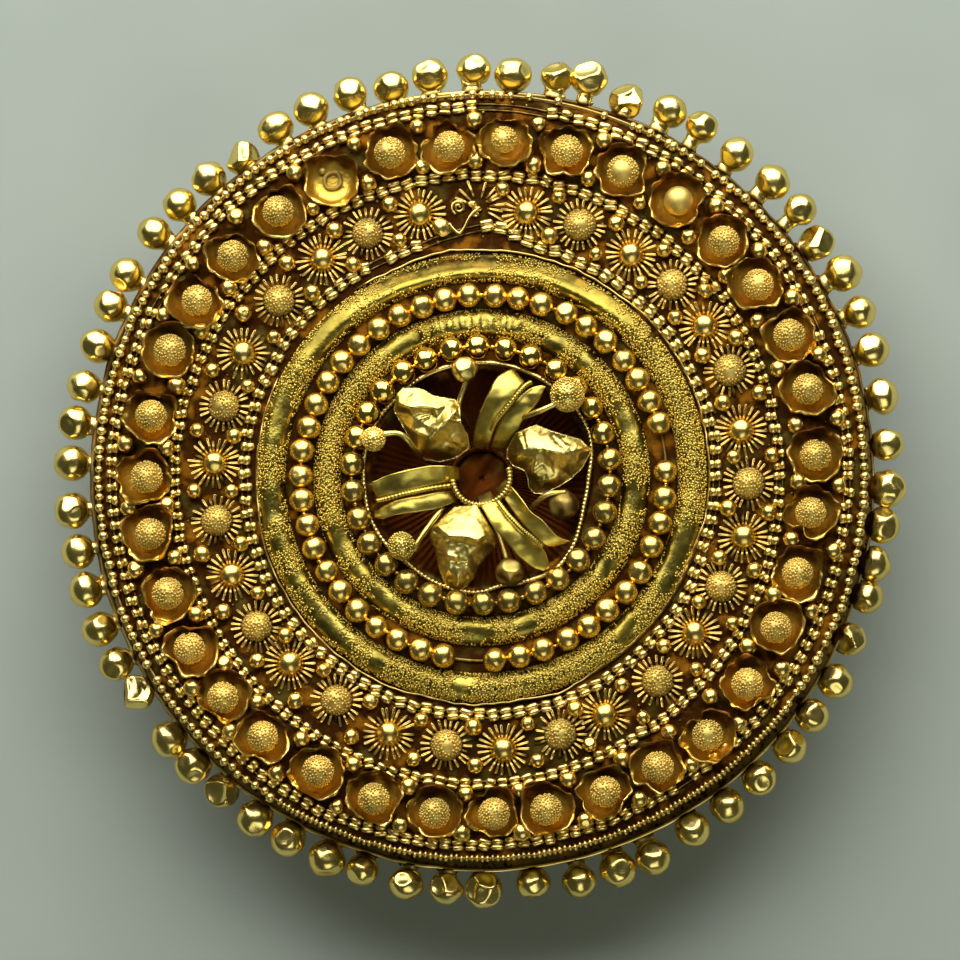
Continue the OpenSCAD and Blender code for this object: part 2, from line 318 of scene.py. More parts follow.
def skin(rows, columns, closed):
    """Faces over rows of points that go round; the last row meets the first if it is closed."""
    i = np.arange(rows if closed else rows - 1)[:, None]
    j = np.arange(columns)[None, :]
    low, high = i * columns, (i + 1) % rows * columns
    right = (j + 1) % columns
    return np.stack([low + j, low + right, high + right, high + j], axis=-1).reshape(-1, 4)


def cap(points, ring, outwards):
    """Closes a ring of point numbers with a fan about its middle."""
    ring = ring if outwards else ring[::-1]
    middle = np.full(len(ring), len(points))
    fan = np.column_stack([ring, np.roll(ring, -1), middle, middle])
    return np.vstack([points, points[ring].mean(axis=0)]), fan


def wrapped(points, rows, closed=False, flipped=False):
    """A form from its points row by row: closed on itself, or else capped at its first and last rows."""
    columns = len(points) // rows
    faces = skin(rows, columns, closed)
    if flipped:
        faces = faces[:, ::-1]
    if closed:
        return points, faces
    points, first = cap(points, np.arange(columns), False)
    points, last = cap(points, np.arange(columns) + (rows - 1) * columns, True)
    return points, np.vstack([faces, first, last])


def turned(profile, sides):
    """A profile of radius and height turned about the Z axis and capped."""
    profile = np.asarray(profile, float)
    circle = np.arange(sides) * 2 * math.pi / sides
    radius, height = profile[:, :1], profile[:, 1:]
    points = np.stack([radius * np.cos(circle), radius * np.sin(circle), height + 0 * circle], axis=-1)
    return wrapped(points.reshape(-1, 3), len(profile))


def tube(path, radius, sides=6, closed=False, reference=(0, 0, 1)):
    """A round wire along a path, with one radius or one for each of the path's points."""
    path = np.asarray(path, float)
    along = np.roll(path, -1, axis=0) - np.roll(path, 1, axis=0) if closed else np.gradient(path, axis=0)
    side = np.cross(along, reference)
    side /= np.linalg.norm(side, axis=1, keepdims=True)
    over = np.cross(side, along)
    over /= np.linalg.norm(over, axis=1, keepdims=True)
    circle = (np.arange(sides) * 2 * math.pi / sides)[:, None]
    radius = np.broadcast_to(radius, len(path))[:, None, None]
    ring = side[:, None] * np.cos(circle) + over[:, None] * np.sin(circle)
    return wrapped((path[:, None] + radius * ring).reshape(-1, 3), len(path), closed)


# Half of a barrel-shaped bead and its other half: share of its radius, share of half its length
BARREL = np.array([(0.64, -1), (0.98, -0.76), (1.08, 0), (0.98, 0.76), (0.64, 1)])


def barrel(length, radius, sides=8):
    """A barrel-shaped bead that lies along the Y axis."""
    points, faces = turned(BARREL * (radius, length / 2), sides)
    return points[:, [0, 2, 1]], faces[:, ::-1]


WAVES = 7


def wobble(points, size, seed):
    """Smooth unevenness from about -1 to 1 whose swells are about `size` millimetres long."""
    dice = np.random.default_rng(seed)
    waves = dice.normal(size=(WAVES, np.shape(points)[1]))
    lengths = np.linalg.norm(waves, axis=1, keepdims=True)
    waves *= 2 * math.pi / size * dice.uniform(0.6, 1.4, (WAVES, 1)) / lengths
    return np.sin(points @ waves.T + dice.uniform(0, 2 * math.pi, WAVES)).sum(axis=1) / (WAVES / 2)


CREASE = 0.05


def dented_ball(dice, dents, depth, level=4):
    """A hollow ball of radius 1 with a few flats and hollows knocked into its upper side."""
    points, faces = ball(level)
    for _ in range(dents):
        direction = unit(dice.normal(size=3) + (0, 0, 0.9))
        struck = np.maximum(points @ direction - (1 - depth * dice.uniform(0.35, 1)), 0)
        push = dice.uniform(0.9, 1.9)
        points = points - push * np.outer(struck ** 2 / (struck + CREASE), direction)
    return points * (1 + 0.03 * wobble(points, 0.9, dice.integers(1000)))[:, None], faces


def stand(points, radius, angle, height):
    """Sets points made about the origin, X outwards, down at a place on the disc."""
    turn = math.radians(angle)
    out = radius + points[:, 0]
    return np.column_stack([out * math.cos(turn) - points[:, 1] * math.sin(turn),
                            out * math.sin(turn) + points[:, 1] * math.cos(turn), height + points[:, 2]])


def spin(points, degrees, axes=(0, 1)):
    """Turns points in the plane of two axes."""
    turn = math.radians(degrees)
    first, second = axes
    turned_points = points.copy()
    turned_points[:, first] = points[:, first] * math.cos(turn) - points[:, second] * math.sin(turn)
    turned_points[:, second] = points[:, first] * math.sin(turn) + points[:, second] * math.cos(turn)
    return turned_points


def on_ring(radius, degrees, height):
    """Points on a circle round the disc, for arrays of radii, angles and heights."""
    turn = np.radians(degrees)
    return np.stack(np.broadcast_arrays(radius * np.cos(turn), radius * np.sin(turn), height), axis=-1)


def bearing(points):
    """Directions of points from the middle of the disc, in degrees."""
    return np.degrees(np.arctan2(points[..., 1], points[..., 0])) % 360


def apart(first, second):
    """Unsigned difference between angles in degrees."""
    return np.abs((first - second + 180) % 360 - 180)


def swell(angles, where, width, power=2):
    """A swell from 0 to 1 about an angle round the disc."""
    return np.exp(-(apart(angles, where) / width) ** power)


def around(chart, angles):
    """Values at angles round the disc, from a chart of angle and value."""
    return np.interp(angles % 360, *np.transpose(chart))


def put(name, data):
    """Sets a new object with its mesh, lamp or lens into the scene."""
    made = bpy.data.objects.new(name, data)
    bpy.context.scene.collection.objects.link(made)
    return made


class Mould:
    """Gathers the forms of one piece and casts them as one mesh."""

    def __init__(self, *forms):
        self.points = []
        self.faces = []
        self.count = 0
        for form in forms:
            self.add(*form)

    def add(self, points, faces):
        self.points.append(points)
        self.faces.append(faces + self.count)
        self.count += len(points)

    def scatter(self, form, centres, sizes):
        """Adds a form at many centres, each at its own size."""
        points, faces = form
        sizes = np.broadcast_to(sizes, len(centres))[:, None, None]
        many = (np.asarray(centres)[:, None] + sizes * points).reshape(-1, 3)
        shifts = np.arange(len(centres))[:, None, None] * len(points)
        self.add(many, (faces + shifts).reshape(-1, 4))

    def cast(self, name, material, slot, *nodes):
        faces = np.concatenate(self.faces).tolist()
        faces = [face[:3] if face[2] == face[3] else face for face in faces]
        mesh = bpy.data.meshes.new(name)
        mesh.from_pydata((np.concatenate(self.points) * MM).tolist(), [], faces)
        mesh.shade_smooth()
        mesh.materials.append(material)
        piece = put(name, mesh)
        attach(piece, "root")
        if nodes:
            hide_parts(*nodes)


# Rings of spheres: how many places, the first angle, and how far hand-set spheres stray from even spacing
OUTER_COUNT = 46
INNER_COUNT = 30
OUTER_START = 0.6
INNER_START = 7
OUTER_DRIFT = [[0, 0.8], [95, -0.2], [180, -1.3], [250, -1.1], [330, -0.5], [360, 0.8]]
NO_DRIFT = [[0, 0], [360, 0]]
# Balls of the cups and domes of the rosettes, charted: angle, distance in pixels
CUPS = [
    (3.9, 336.5), (15.2, 339.4), (24.8, 340.8), (34.8, 338.6), (44.1, 339.7), (54.4, 341), (65, 338.3),
    (75.1, 338.4), (85.9, 339.4), (95.3, 332.8), (105.5, 337.6), (116.4, 333), (127.1, 334.5),
    (138.1, 332.3), (147.9, 334), (157.6, 335.4), (169.3, 334.6), (179.8, 333), (189.6, 334.3),
    (200.3, 332.9), (210.4, 336.7), (220.5, 337.9), (230, 337.7), (241.1, 335.1), (251.7, 337.9),
    (262.3, 338.1), (272.4, 336.2), (281.3, 338), (291.8, 337.8), (301.6, 339.7), (311.5, 343.6),
    (322.4, 337.7), (333.2, 331.6), (343.3, 331.5), (354, 332.6)]
ROSETTES = [
    (10.3, 265.5), (23.3, 272), (34.1, 271.4), (45.2, 272.6), (56, 269.9), (68.5, 272), (80, 269.7),
    (91, 270), (102.9, 270.8), (114.6, 269.3), (125.8, 269.8), (138.6, 267.9), (152.2, 268),
    (164.3, 265.7), (176.8, 266.2), (189.2, 266.7), (201.3, 266.8), (213.6, 268.1), (224.3, 265.7),
    (237.2, 264.7), (250.3, 271.5), (262.8, 269.3), (274.9, 272.5), (287.4, 268.8), (297.8, 267.8),
    (311.2, 270), (324.2, 264.6), (335.8, 264.4), (347.4, 270), (358.8, 268.7)]
LOST_OUTER = (1, 34)
LOST_BALL = 11
LOST_ROSETTE = 7


def place(k, count, start, drift):
    """Direction of place k in a row, in degrees."""
    even = start + k * 360 / count
    return even + around(drift, even)


def charted_row(chart, height):
    """Radius and direction of the places of a row, from its chart and the height of what was charted."""
    spots = seen(*np.transpose(chart), height)
    return np.column_stack([np.hypot(spots[:, 0], spots[:, 1]), bearing(spots)])


CUP_PLACES = charted_row(CUPS, FRONT + 1.0)
ROSETTE_PLACES = charted_row(ROSETTES, FRONT + 0.45)


# The front sheet with its two bands and the bowl

# Stretches of a band left plain, as first and last angle round the face
OUTER_PLAIN = [
    (45, 75), (75, 125), (126, 150), (155, 172), (182, 194), (196, 201), (207, 211), (214, 232),
    (238, 243), (262, 268), (310, 318), (325, 350)]
INNER_PLAIN = [
    (10, 30), (45, 50), (55, 65), (72, 108), (112, 130), (197, 212), (215, 222), (225, 240), (262, 275),
    (283, 292), (320, 328), (345, 360)]
# Knocks in a band: angle, half width in degrees, where across it (0 outer foot, 180 inner foot), depth
OUTER_KNOCKS = [
    (98, 27, 58, 0.8), (62, 14, 50, 0.4), (88, 4, 118, 0.12), (106, 4, 114, 0.14), (118, 3, 80, 0.1),
    (135, 12, 60, 0.16), (82, 6, 100, 0.12), (160, 9, 90, 0.16), (188, 5, 70, 0.14), (222, 9, 80, 0.15),
    (248, 4, 60, 0.12), (265, 3, 100, 0.16), (281, 4, 60, 0.1), (314, 4, 80, 0.14), (336, 11, 70, 0.16),
    (358, 4, 110, 0.1), (15, 5, 60, 0.12), (34, 4, 90, 0.12)]
INNER_KNOCKS = [
    (20, 9, 80, 0.14), (60, 5, 60, 0.12), (90, 14, 70, 0.16), (122, 8, 80, 0.14), (205, 7, 90, 0.14),
    (232, 8, 80, 0.15), (268, 6, 70, 0.15), (288, 5, 90, 0.14), (324, 4, 70, 0.12), (352, 7, 80, 0.14)]
INNER_KNOCKS += [(angle, 1.4, 88, 0.2) for angle in (74, 79.5, 84, 89, 94.5, 99, 104, 109.5, 114)]


def band_skin(band, knocks, angle, across, lift=0.0):
    """Points on a round band with its knocks, for angles round the disc and across it in degrees."""
    ring, half = band
    depth = 0
    for where, width, side, knock in knocks:
        reach = (apart(angle, where) / width) ** 2 + ((across - side) / 45) ** 2
        depth = depth + knock * np.exp(-reach ** 1.5)
    arc = np.radians(across)
    places = on_ring(ring, angle, 0 * arc).reshape(-1, 3)
    uneven = 0.025 * wobble(places, 3.5, 3) + 0.025 * wobble(places, 1.5, 4)
    uneven = uneven.reshape(np.shape(arc + angle)) * np.sin(arc)
    out = (half + uneven + lift) * np.cos(arc) * (1 - 0.25 * depth)
    return on_ring(ring + out, angle, FRONT + (half * (1 - depth) + uneven + lift) * np.sin(arc))


SHEET_SEGMENTS = 420
BOWL_RIBS = 96


def bowl_row(inset, steps):
    """Radius and height down the wall of the bowl, from its floor to its mouth."""
    deep, wide = FRONT - FLOOR_Z, MOUTH_R - FLOOR_R
    arc = (wide ** 2 + deep ** 2) / (2 * deep)
    run = np.linspace(0, wide, steps)
    return [(FLOOR_R + x, FLOOR_Z + arc - math.sqrt(arc ** 2 - x ** 2) - inset) for x in run]


def face_row(first, last, steps):
    return [(r, FRONT) for r in np.linspace(first, last, steps)]


def front_sheet():
    """The box-shaped disc: wall, face, bands and bowl, in one dented sheet."""
    outer_foot, outer_edge = OUTER_BAND[0] - OUTER_BAND[1] - 0.1, OUTER_BAND[0] + OUTER_BAND[1] + 0.1
    inner_foot, inner_edge = INNER_BAND[0] - INNER_BAND[1] - 0.1, INNER_BAND[0] + INNER_BAND[1] + 0.1
    parts = [
        [(0.02, FLOOR_Z), (1.5, FLOOR_Z)], bowl_row(0, 18), face_row(MOUTH_R + 0.12, inner_foot, 4),
        (INNER_BAND, INNER_KNOCKS), face_row(inner_edge, outer_foot, 4),
        (OUTER_BAND, OUTER_KNOCKS), face_row(outer_edge, WALL_R - 0.12, 16),
        [(WALL_R - 0.03, FRONT - 0.04), (WALL_R, FRONT - 0.14), (WALL_R, FRONT - 1.1), (WALL_R, FRONT - 2.1),
         (WALL_R, PLATE + 0.01), (WALL_R - SHEET_T, PLATE + 0.01), (WALL_R - SHEET_T, FRONT - SHEET_T),
         (MOUTH_R + SHEET_T, FRONT - SHEET_T)], bowl_row(SHEET_T, 8)[::-1], [(0.02, FLOOR_Z - SHEET_T)]]
    angles = np.arange(SHEET_SEGMENTS) * 360 / SHEET_SEGMENTS
    rows = []
    for part in parts:
        if isinstance(part, tuple):
            rows += [band_skin(*part, angles, np.full(SHEET_SEGMENTS, a)) for a in np.linspace(180, 0, 15)]
        else:
            rows += [on_ring(r, angles, z) for r, z in part]
    points = np.concatenate(rows)
    radius = np.hypot(points[:, 0], points[:, 1])
    turn = np.arctan2(points[:, 1], points[:, 0])
    top = points[:, 2] > FRONT - 0.01
    points[:, 2] += np.where(top & (radius > COLLAR_R), 0.05 * wobble(points[:, :2], 2.2, 5), 0)
    in_bowl = (radius > FLOOR_R) & (radius < MOUTH_R - 0.2) & (points[:, 2] > FLOOR_Z - 0.01)
    ribs = np.cos(BOWL_RIBS * turn) * (0.6 + 0.4 * wobble(points[:, :2], 2.0, 9))
    points[:, 2] += np.where(in_bowl, 0.12 * ribs, 0)
    wall = (radius > WALL_R - 0.1) & ~top
    push = np.where(wall, 0.05 * wobble(points, 4, 8), 0)
    points[:, :2] *= (1 + push / np.maximum(radius, 1))[:, None]
    return Mould(wrapped(points, len(rows)))


# Edge of the thin collar: angle, radius in pixels
COLLAR_EDGE = [
    (0, 228), (15, 229), (30, 230), (47, 230), (52, 228), (90, 228), (98, 230), (115, 226), (122, 227),
    (126, 230), (150, 230), (156, 227), (180, 224), (200, 228), (225, 228), (246, 229), (255, 226),
    (267, 228), (280, 226), (290, 230), (303, 223), (315, 224), (330, 223), (342, 224), (350, 228),
    (360, 228)]
COLLAR_GAP = (124, 152)
COLLAR_HALF_T = 0.07
COLLAR_RISE = 0.5


def collar_edge():
    """The thin upright edge outside the outer band, bent in and out, with one stretch torn away."""
    first, last = COLLAR_GAP
    angles = np.linspace(last, first + 360, 460)
    radius = around(COLLAR_EDGE, angles) / PX_PER_MM
    places = on_ring(18.0, angles, 0.0)
    foot = np.maximum(radius, COLLAR_R + 0.02)
    rise = COLLAR_RISE + 0.12 * wobble(places, 5, 21) + 0.05 * wobble(places, 1.2, 22)
    rise *= np.clip(np.minimum(angles - last, first + 360 - angles) / 4, 0.15, 1)
    edge = radius + 0.05 * wobble(places, 1.6, 23)
    half = COLLAR_HALF_T
    sections = [(foot + half, -0.1), (foot + half, 0.25 * rise), (edge + half, 0.9 * rise),
                (edge, 1.06 * rise), (edge - half, 0.9 * rise), (foot - half, 0.25 * rise),
                (foot - half, -0.1)]
    points = np.stack([on_ring(r, angles, FRONT + z) for r, z in sections], axis=1)
    return Mould(wrapped(points.reshape(-1, 3), len(angles), flipped=True))


GRAIN_R = 0.1
GRAIN_GAP = 0.21


def bareness(angle, plain):
    """How plain a band is at angles round it, from 0 to 1."""
    bare = np.zeros(len(angle))
    for first, last in plain:
        middle, half_width = (first + last) / 2, (last - first) / 2
        bare = np.maximum(bare, np.clip(1.4 - apart(angle, middle) / half_width, 0, 1))
    return bare


def powder_share(points):
    """How much powder lies on the sheet at points on the two bands, from 0 to 1."""
    angle = bearing(points)
    radius = np.hypot(points[:, 0], points[:, 1])
    share = np.zeros(len(points))
    for (ring, half), plain in ((OUTER_BAND, OUTER_PLAIN), (INNER_BAND, INNER_PLAIN)):
        foot = np.clip(np.abs(radius - ring) / half, 0, 1)
        powdered = 1 - bareness(angle, plain) * (1 - 0.7 * foot ** 3)
        powdered += 0.35 * wobble(points, 1.3, 19)
        share = np.where(np.abs(radius - ring) < half + 0.05, np.clip(powdered, 0, 1), share)
    return np.where(points[:, 2] > FRONT + 0.05, share, 0)


def band_grains(band, knocks, plain, seed):
    """Powder of tiny grains soldered over a band in curly patches."""
    dice = np.random.default_rng(seed)
    ring, half = band
    lanes, count = int(math.pi * half / GRAIN_GAP), int(2 * math.pi * ring / GRAIN_GAP)
    across, angle = np.meshgrid((np.arange(lanes) + 0.5) / lanes, (np.arange(count) + 0.5) / count)
    across = 180 * (across.ravel() + dice.uniform(-0.48, 0.48, across.size) / lanes)
    angle = 360 * (angle.ravel() + dice.uniform(-0.5, 0.5, angle.size) / count)
    places = band_skin(band, knocks, angle, across, 0.25 * GRAIN_R)
    swirl = wobble(places, 2.2, seed) + 0.7 * wobble(places, 0.9, seed + 1)
    bare = bareness(angle, plain)
    near_foot = np.abs(across - 90) / 90
    keep = swirl > -1.35 + 2.7 * bare * (1 - 0.75 * near_foot)
    mould = Mould()
    mould.scatter(ball(1), places[keep], GRAIN_R * dice.uniform(0.7, 1.2, keep.sum()))
    return mould


STRAY_GRAINS = 520


def stray_grains():
    """Single grains and blobs of solder left on the face between the rows."""
    dice = np.random.default_rng(17)
    angle = dice.uniform(0, 360, STRAY_GRAINS)
    radius = dice.uniform(COLLAR_R + 0.6, WALL_R - 0.3, STRAY_GRAINS)
    size = dice.uniform(0.07, 0.17, STRAY_GRAINS)
    mould = Mould()
    mould.scatter(ball(1), on_ring(radius, angle, FRONT + 0.6 * size), size)
    edge = dice.uniform(WALL_R + 0.08, FLANGE_R - 0.05, STRAY_GRAINS)
    mould.scatter(ball(1), on_ring(edge, dice.uniform(0, 360, STRAY_GRAINS), PLATE + 0.5 * size), size)
    return mould


# The edge beads

# Hollow beads round the edge, charted: angle, distance in pixels
RIM_BEADS = [
    (4.7, 408), (11.5, 410), (18.1, 412), (23.6, 414), (29.4, 417), (34.9, 410), (39.9, 417), (45.3, 416),
    (51.6, 413), (57.7, 415), (62.6, 413), (68.7, 405), (74.7, 414), (79.1, 409), (85.3, 404),
    (90.8, 408), (97.1, 405), (102.8, 400), (108.7, 405), (114.6, 405), (120.3, 405), (126.6, 398),
    (132.2, 404), (137.7, 406), (143.1, 407), (150.1, 407), (155, 407), (160.9, 404), (167, 406),
    (172.2, 408), (177.9, 408), (184.6, 409), (190.4, 408), (195.9, 409), (201.7, 409), (207.1, 408),
    (212, 405), (220.1, 406), (225.1, 406), (230.5, 404), (236.6, 408), (242, 408), (248.1, 410),
    (253.3, 409), (259.7, 412), (265.3, 411), (270.5, 411), (277.5, 408), (283.8, 415), (289.4, 414),
    (294.5, 417), (301.2, 410), (307, 410), (312.9, 410), (319.1, 409), (324.4, 408), (330.2, 409),
    (336.4, 403), (342.9, 404), (347.7, 403), (353.3, 405), (358.5, 407)]
# Beads that are knocked in badly, by their place in the chart, and how far
BATTERED = {5: 0.5, 11: 0.75, 12: 0.5, 13: 0.7, 21: 0.85, 36: 0.8, 39: 0.75, 45: 0.5, 46: 0.45, 54: 0.45,
            57: 0.4}
RIM_BEAD_R = 1.41
NECK_SIDES = 14


def rim_beads():
    """Beads on short necks that are soldered to the flange, with a grain or two at each root."""
    dice = np.random.default_rng(31)
    mould = Mould()
    for k, (angle, radius_px) in enumerate(RIM_BEADS):
        middle = seen(angle, radius_px, BEAD_Z + dice.uniform(-0.06, 0.12))
        reach, turn = math.hypot(*middle[:2]), bearing(middle)
        battered = BATTERED.get(k, 0)
        points, faces = dented_ball(dice, dice.integers(1, 5) + int(4 * battered), 0.16 + 0.42 * battered)
        squash = np.array([1, 1, 1]) + dice.uniform(-0.07, 0.07, 3)
        size = RIM_BEAD_R * dice.uniform(0.96, 1.04)
        mould.add(stand(size * squash * points, reach, turn, middle[2]), faces)
        neck = reach - FLANGE_R - 0.6
        profile = [(0.6, 0), (0.78, 0.06), (0.8, 0.16), (0.7, 0.3), (0.68, 0.5 * neck), (0.8, neck)]
        points, faces = turned(profile, NECK_SIDES)
        points *= (0.75, dice.uniform(0.85, 1.25), 1)
        points = spin(points, 90, (0, 2))
        points[:, 0] *= -1
        mould.add(stand(points, FLANGE_R - 0.03, turn + dice.normal(0, 0.15), BEAD_Z), faces)
        for side in (-1, 1):
            if dice.random() < 0.6:
                spot = [dice.uniform(0.1, 0.4), side * dice.uniform(0.5, 0.8), dice.uniform(0, 0.25)]
                spot = stand(np.array([spot]), FLANGE_R, turn, BEAD_Z)
                mould.scatter(ball(2), spot, dice.uniform(0.14, 0.24))
    return mould


# How much painted shade darkens the flange's edge, by angle
EDGE_SHADE = [
    (0, 0.6), (20, 0.9), (78, 0.9), (86, 0.2), (102, 0.2), (108, 0.95), (170, 0.9), (195, 0.75),
    (212, 0.1), (330, 0.05), (345, 0.6), (360, 0.6)]


def edge_shade(points):
    """How much painted shade darkens points on the flange's edge, from 0 to 1."""
    return np.clip(around(EDGE_SHADE, bearing(points)) + 0.15 * wobble(points, 3, 45), 0, 0.97)


def flange_lip():
    """The worn, turned-up edge of the back plate, which shows as a thin bright line; its finish is painted
    light, with painted shade by angle.
    """
    angles = np.arange(720) / 2
    places = on_ring(FLANGE_R, angles, 0.0)
    widened = swell(angles, 150, 60)
    edge = FLANGE_R + 0.05 * wobble(places, 7, 41) + 0.26 * widened
    rise = 0.06 + 0.3 * swell(angles, 320, 55) + 0.08 * wobble(places, 5, 43)
    path = on_ring(edge + 0.04 * wobble(places, 1.8, 42), angles, PLATE + rise)
    thick = 0.11 + 0.17 * widened + 0.06 * swell(angles, 275, 55) + 0.02 * wobble(places, 2.5, 44)
    return Mould(tube(path, thick, 6, closed=True))


# Wires

# Where the wire on the rim runs: angle, radius. Its beads are worn away in one stretch and fine in another
RIM_WIRE = [(0, 30.55), (55, 30.65), (90, 30.78), (135, 30.75), (180, 30.68), (270, 30.5), (360, 30.55)]
RIM_WIRE_WORN = (64, 84)
RIM_WIRE_FINE = (238, 322)
RIM_WIRE_BEADS = 248
RIM_WIRE_R = 0.37
FINE_STEP = 0.78
CORE_R = 0.12


def rim_wire():
    """The fine beaded wire on the edge of the face."""
    dice = np.random.default_rng(51)
    angles = np.arange(RIM_WIRE_BEADS) * 360 / RIM_WIRE_BEADS + dice.normal(0, 0.14, RIM_WIRE_BEADS)
    first, last = RIM_WIRE_WORN
    lost = np.where((angles > first) & (angles < last), 0.75, 0.03)
    finest, coarsest = RIM_WIRE_FINE
    fine = np.arange(finest, coarsest, FINE_STEP) + 0.2
    angles = angles[dice.random(RIM_WIRE_BEADS) > lost]
    core = np.arange(180) * 2.0
    mould = Mould()
    for angle in np.r_[angles[(angles < finest) | (angles > coarsest)], fine]:
        points, faces = ball(2)
        size = RIM_WIRE_R * dice.uniform(0.8, 1.1)
        if finest < angle < coarsest:
            points = points * (0.78, 0.5, 0.85)
        radius = around(RIM_WIRE, angle) + dice.normal(0, 0.05)
        height = FRONT + SEAM + 0.3 + dice.normal(0, 0.03)
        mould.add(stand(points * size * (1.08, 0.96, 1), radius, angle, height), faces)
    mould.add(*tube(on_ring(around(RIM_WIRE, core), core, FRONT + 0.14), CORE_R, 5, closed=True))
    return mould


# Double wires: radius by angle, length of a bead by angle, stretches lost, and the share lost elsewhere
DOUBLE_WIRES = {
    "outer_line": ([(0, 29.2), (50, 29.4), (90, 29.7), (180, 29.6), (270, 29.4), (320, 29.25), (360, 29.2)],
                   [(0, 1.06), (90, 1.08), (180, 1.03), (270, 1.05), (360, 1.06)], [(80.5, 89.5)], 0.012),
    "middle_line": ([(0, 23.85), (50, 24.05), (90, 24.32), (180, 24.62), (270, 24.6), (320, 24.1),
                     (360, 23.85)],
                    [(0, 1.0), (90, 1.13), (180, 0.9), (270, 1.0), (360, 1.0)], [], 0.008),
    "inner_line": ([(0, 18.8), (76, 19.1), (82.4, 19.6), (88, 20.25), (104, 19.15), (180, 19.05),
                    (270, 19.1), (360, 18.8)],
                   [(0, 1.13), (90, 1.15), (180, 1.08), (270, 1.07), (360, 1.13)], [(89, 102.5)], 0.008)}
WIRE_GAP = 0.24
BARREL_R = 0.255


def double_wire(ring, lengths, lost, share, seed):
    """Two coarse beaded wires side by side, their barrels paired, bent and broken here and there."""
    dice = np.random.default_rng(seed)
    fine = np.arange(0, 360, 0.5)
    run = np.cumsum(math.radians(0.5) * around(ring, fine) / around(lengths, fine))
    angles = np.interp(np.linspace(0, run[-1], round(run[-1]), endpoint=False), run, fine)

    def bent(a):
        places = on_ring(25.0, a, 0.0)
        return around(ring, a) + (0.07 * wobble(places, 9, seed) + 0.05 * wobble(places, 2.5, seed + 1))

    mould = Mould()
    for angle, radius in zip(angles, bent(angles)):
        if dice.random() < share or any(first < angle < last for first, last in lost):
            continue
        twist = dice.normal(0, 9)
        radius = radius + dice.normal(0, 0.045)
        long = math.sin(math.radians(angle)) ** 2
        for side in (-1, 1):
            length = around(lengths, angle) * dice.uniform(0.8, 1.02) * (0.7 + 0.22 * long)
            points, faces = barrel(length, BARREL_R * dice.uniform(0.84, 1.16) * (1.14 - 0.12 * long))
            points *= 1 + 0.1 * wobble(points, 0.6, dice.integers(1000))[:, None]
            points = spin(points + np.array([side * WIRE_GAP, 0, 0]), twist)
            points[:, 2] += dice.normal(0, 0.04)
            mould.add(stand(points, radius, angle, FRONT + SEAM + 0.24), faces)
    core = np.arange(180) * 2.0
    for side in (-1, 1):
        path = on_ring(bent(core) + side * WIRE_GAP, core, FRONT + SEAM + 0.02)
        mould.add(*tube(path, CORE_R, 4, closed=True))
    return mould


# Mouth of the bowl: angle, radius in pixels, and how plainly the wire's beading shows there
MOUTH_WIRE = [
    (0, 108, 0.3), (10, 113, 0.6), (20, 118, 1), (35, 119, 1), (50, 117, 0.3), (65, 116, 0.1),
    (90, 115.5, 0.1), (115, 116, 0.1), (127, 116, 0.5), (135, 115, 1), (150, 118, 1), (165, 118, 0.8),
    (187, 116, 0.5), (200, 117, 1), (215, 115, 0.4), (230, 112, 0.4), (240, 113, 1), (250, 114, 1),
    (270, 115, 1), (280, 109, 0.3), (297, 114, 0.2), (310, 119, 0.3), (325, 115, 0.8), (335, 110, 1),
    (345, 107, 0.8), (355, 108, 0.3), (360, 108, 0.3)]
MOUTH_BEADS = 168


def mouth_wire():
    """A thin wire round the mouth of the bowl, beaded where it isn't worn."""
    steps = MOUTH_BEADS * 6
    angles = np.arange(steps) * 360 / steps
    charted_angles, radii_px, beaded = np.transpose(MOUTH_WIRE)
    radius_px, beaded = (np.interp(angles, charted_angles, column) for column in (radii_px, beaded))
    smooth = np.ones(25) / 25
    radius_px = np.convolve(np.r_[radius_px[-12:], radius_px, radius_px[:12]], smooth, "valid")
    places = on_ring(9.2, angles, 0.0)
    raised = swell(angles, 88, 45)
    path = seen(angles, radius_px, FRONT + 0.28 + 0.3 * raised + 0.08 * wobble(places, 6, 61))
    beads = np.abs(np.sin(angles * MOUTH_BEADS / 2 * math.pi / 180))
    radius = (0.2 + 0.04 * raised) * (1 + beaded * (0.55 * beads ** 0.7 - 0.4))
    return Mould(tube(path, radius + 0.012 * wobble(places, 2, 62), 7, closed=True))


# Cups, balls and rosettes

# Wall of a cup from its foot up and inside down again: radius, height, share of the lobes' depth
CUP_WALL = [
    (0.9, 0, 0), (1.4, 0.1, 0.1), (1.82, 0.4, 0.4), (2.04, 0.78, 0.7), (2.18, 1.1, 1), (2.28, 1.28, 1.1),
    (2.3, 1.37, 1.1), (2.24, 1.45, 1.15), (2.14, 1.45, 1.15), (2.07, 1.36, 1.15), (2.02, 1.12, 1),
    (1.9, 0.83, 0.7), (1.71, 0.56, 0.4), (1.46, 0.37, 0.15), (1.15, 0.25, 0), (0.5, 0.2, 0)]
CUP_SIDES = 64
# How far a cup reaches inwards and outwards, and to its sides; those at the bottom are pressed in outwards
CUP_REACH = 2.3
CUP_HALF_WIDTH = 2.38
PRESSED_IN = 0.42


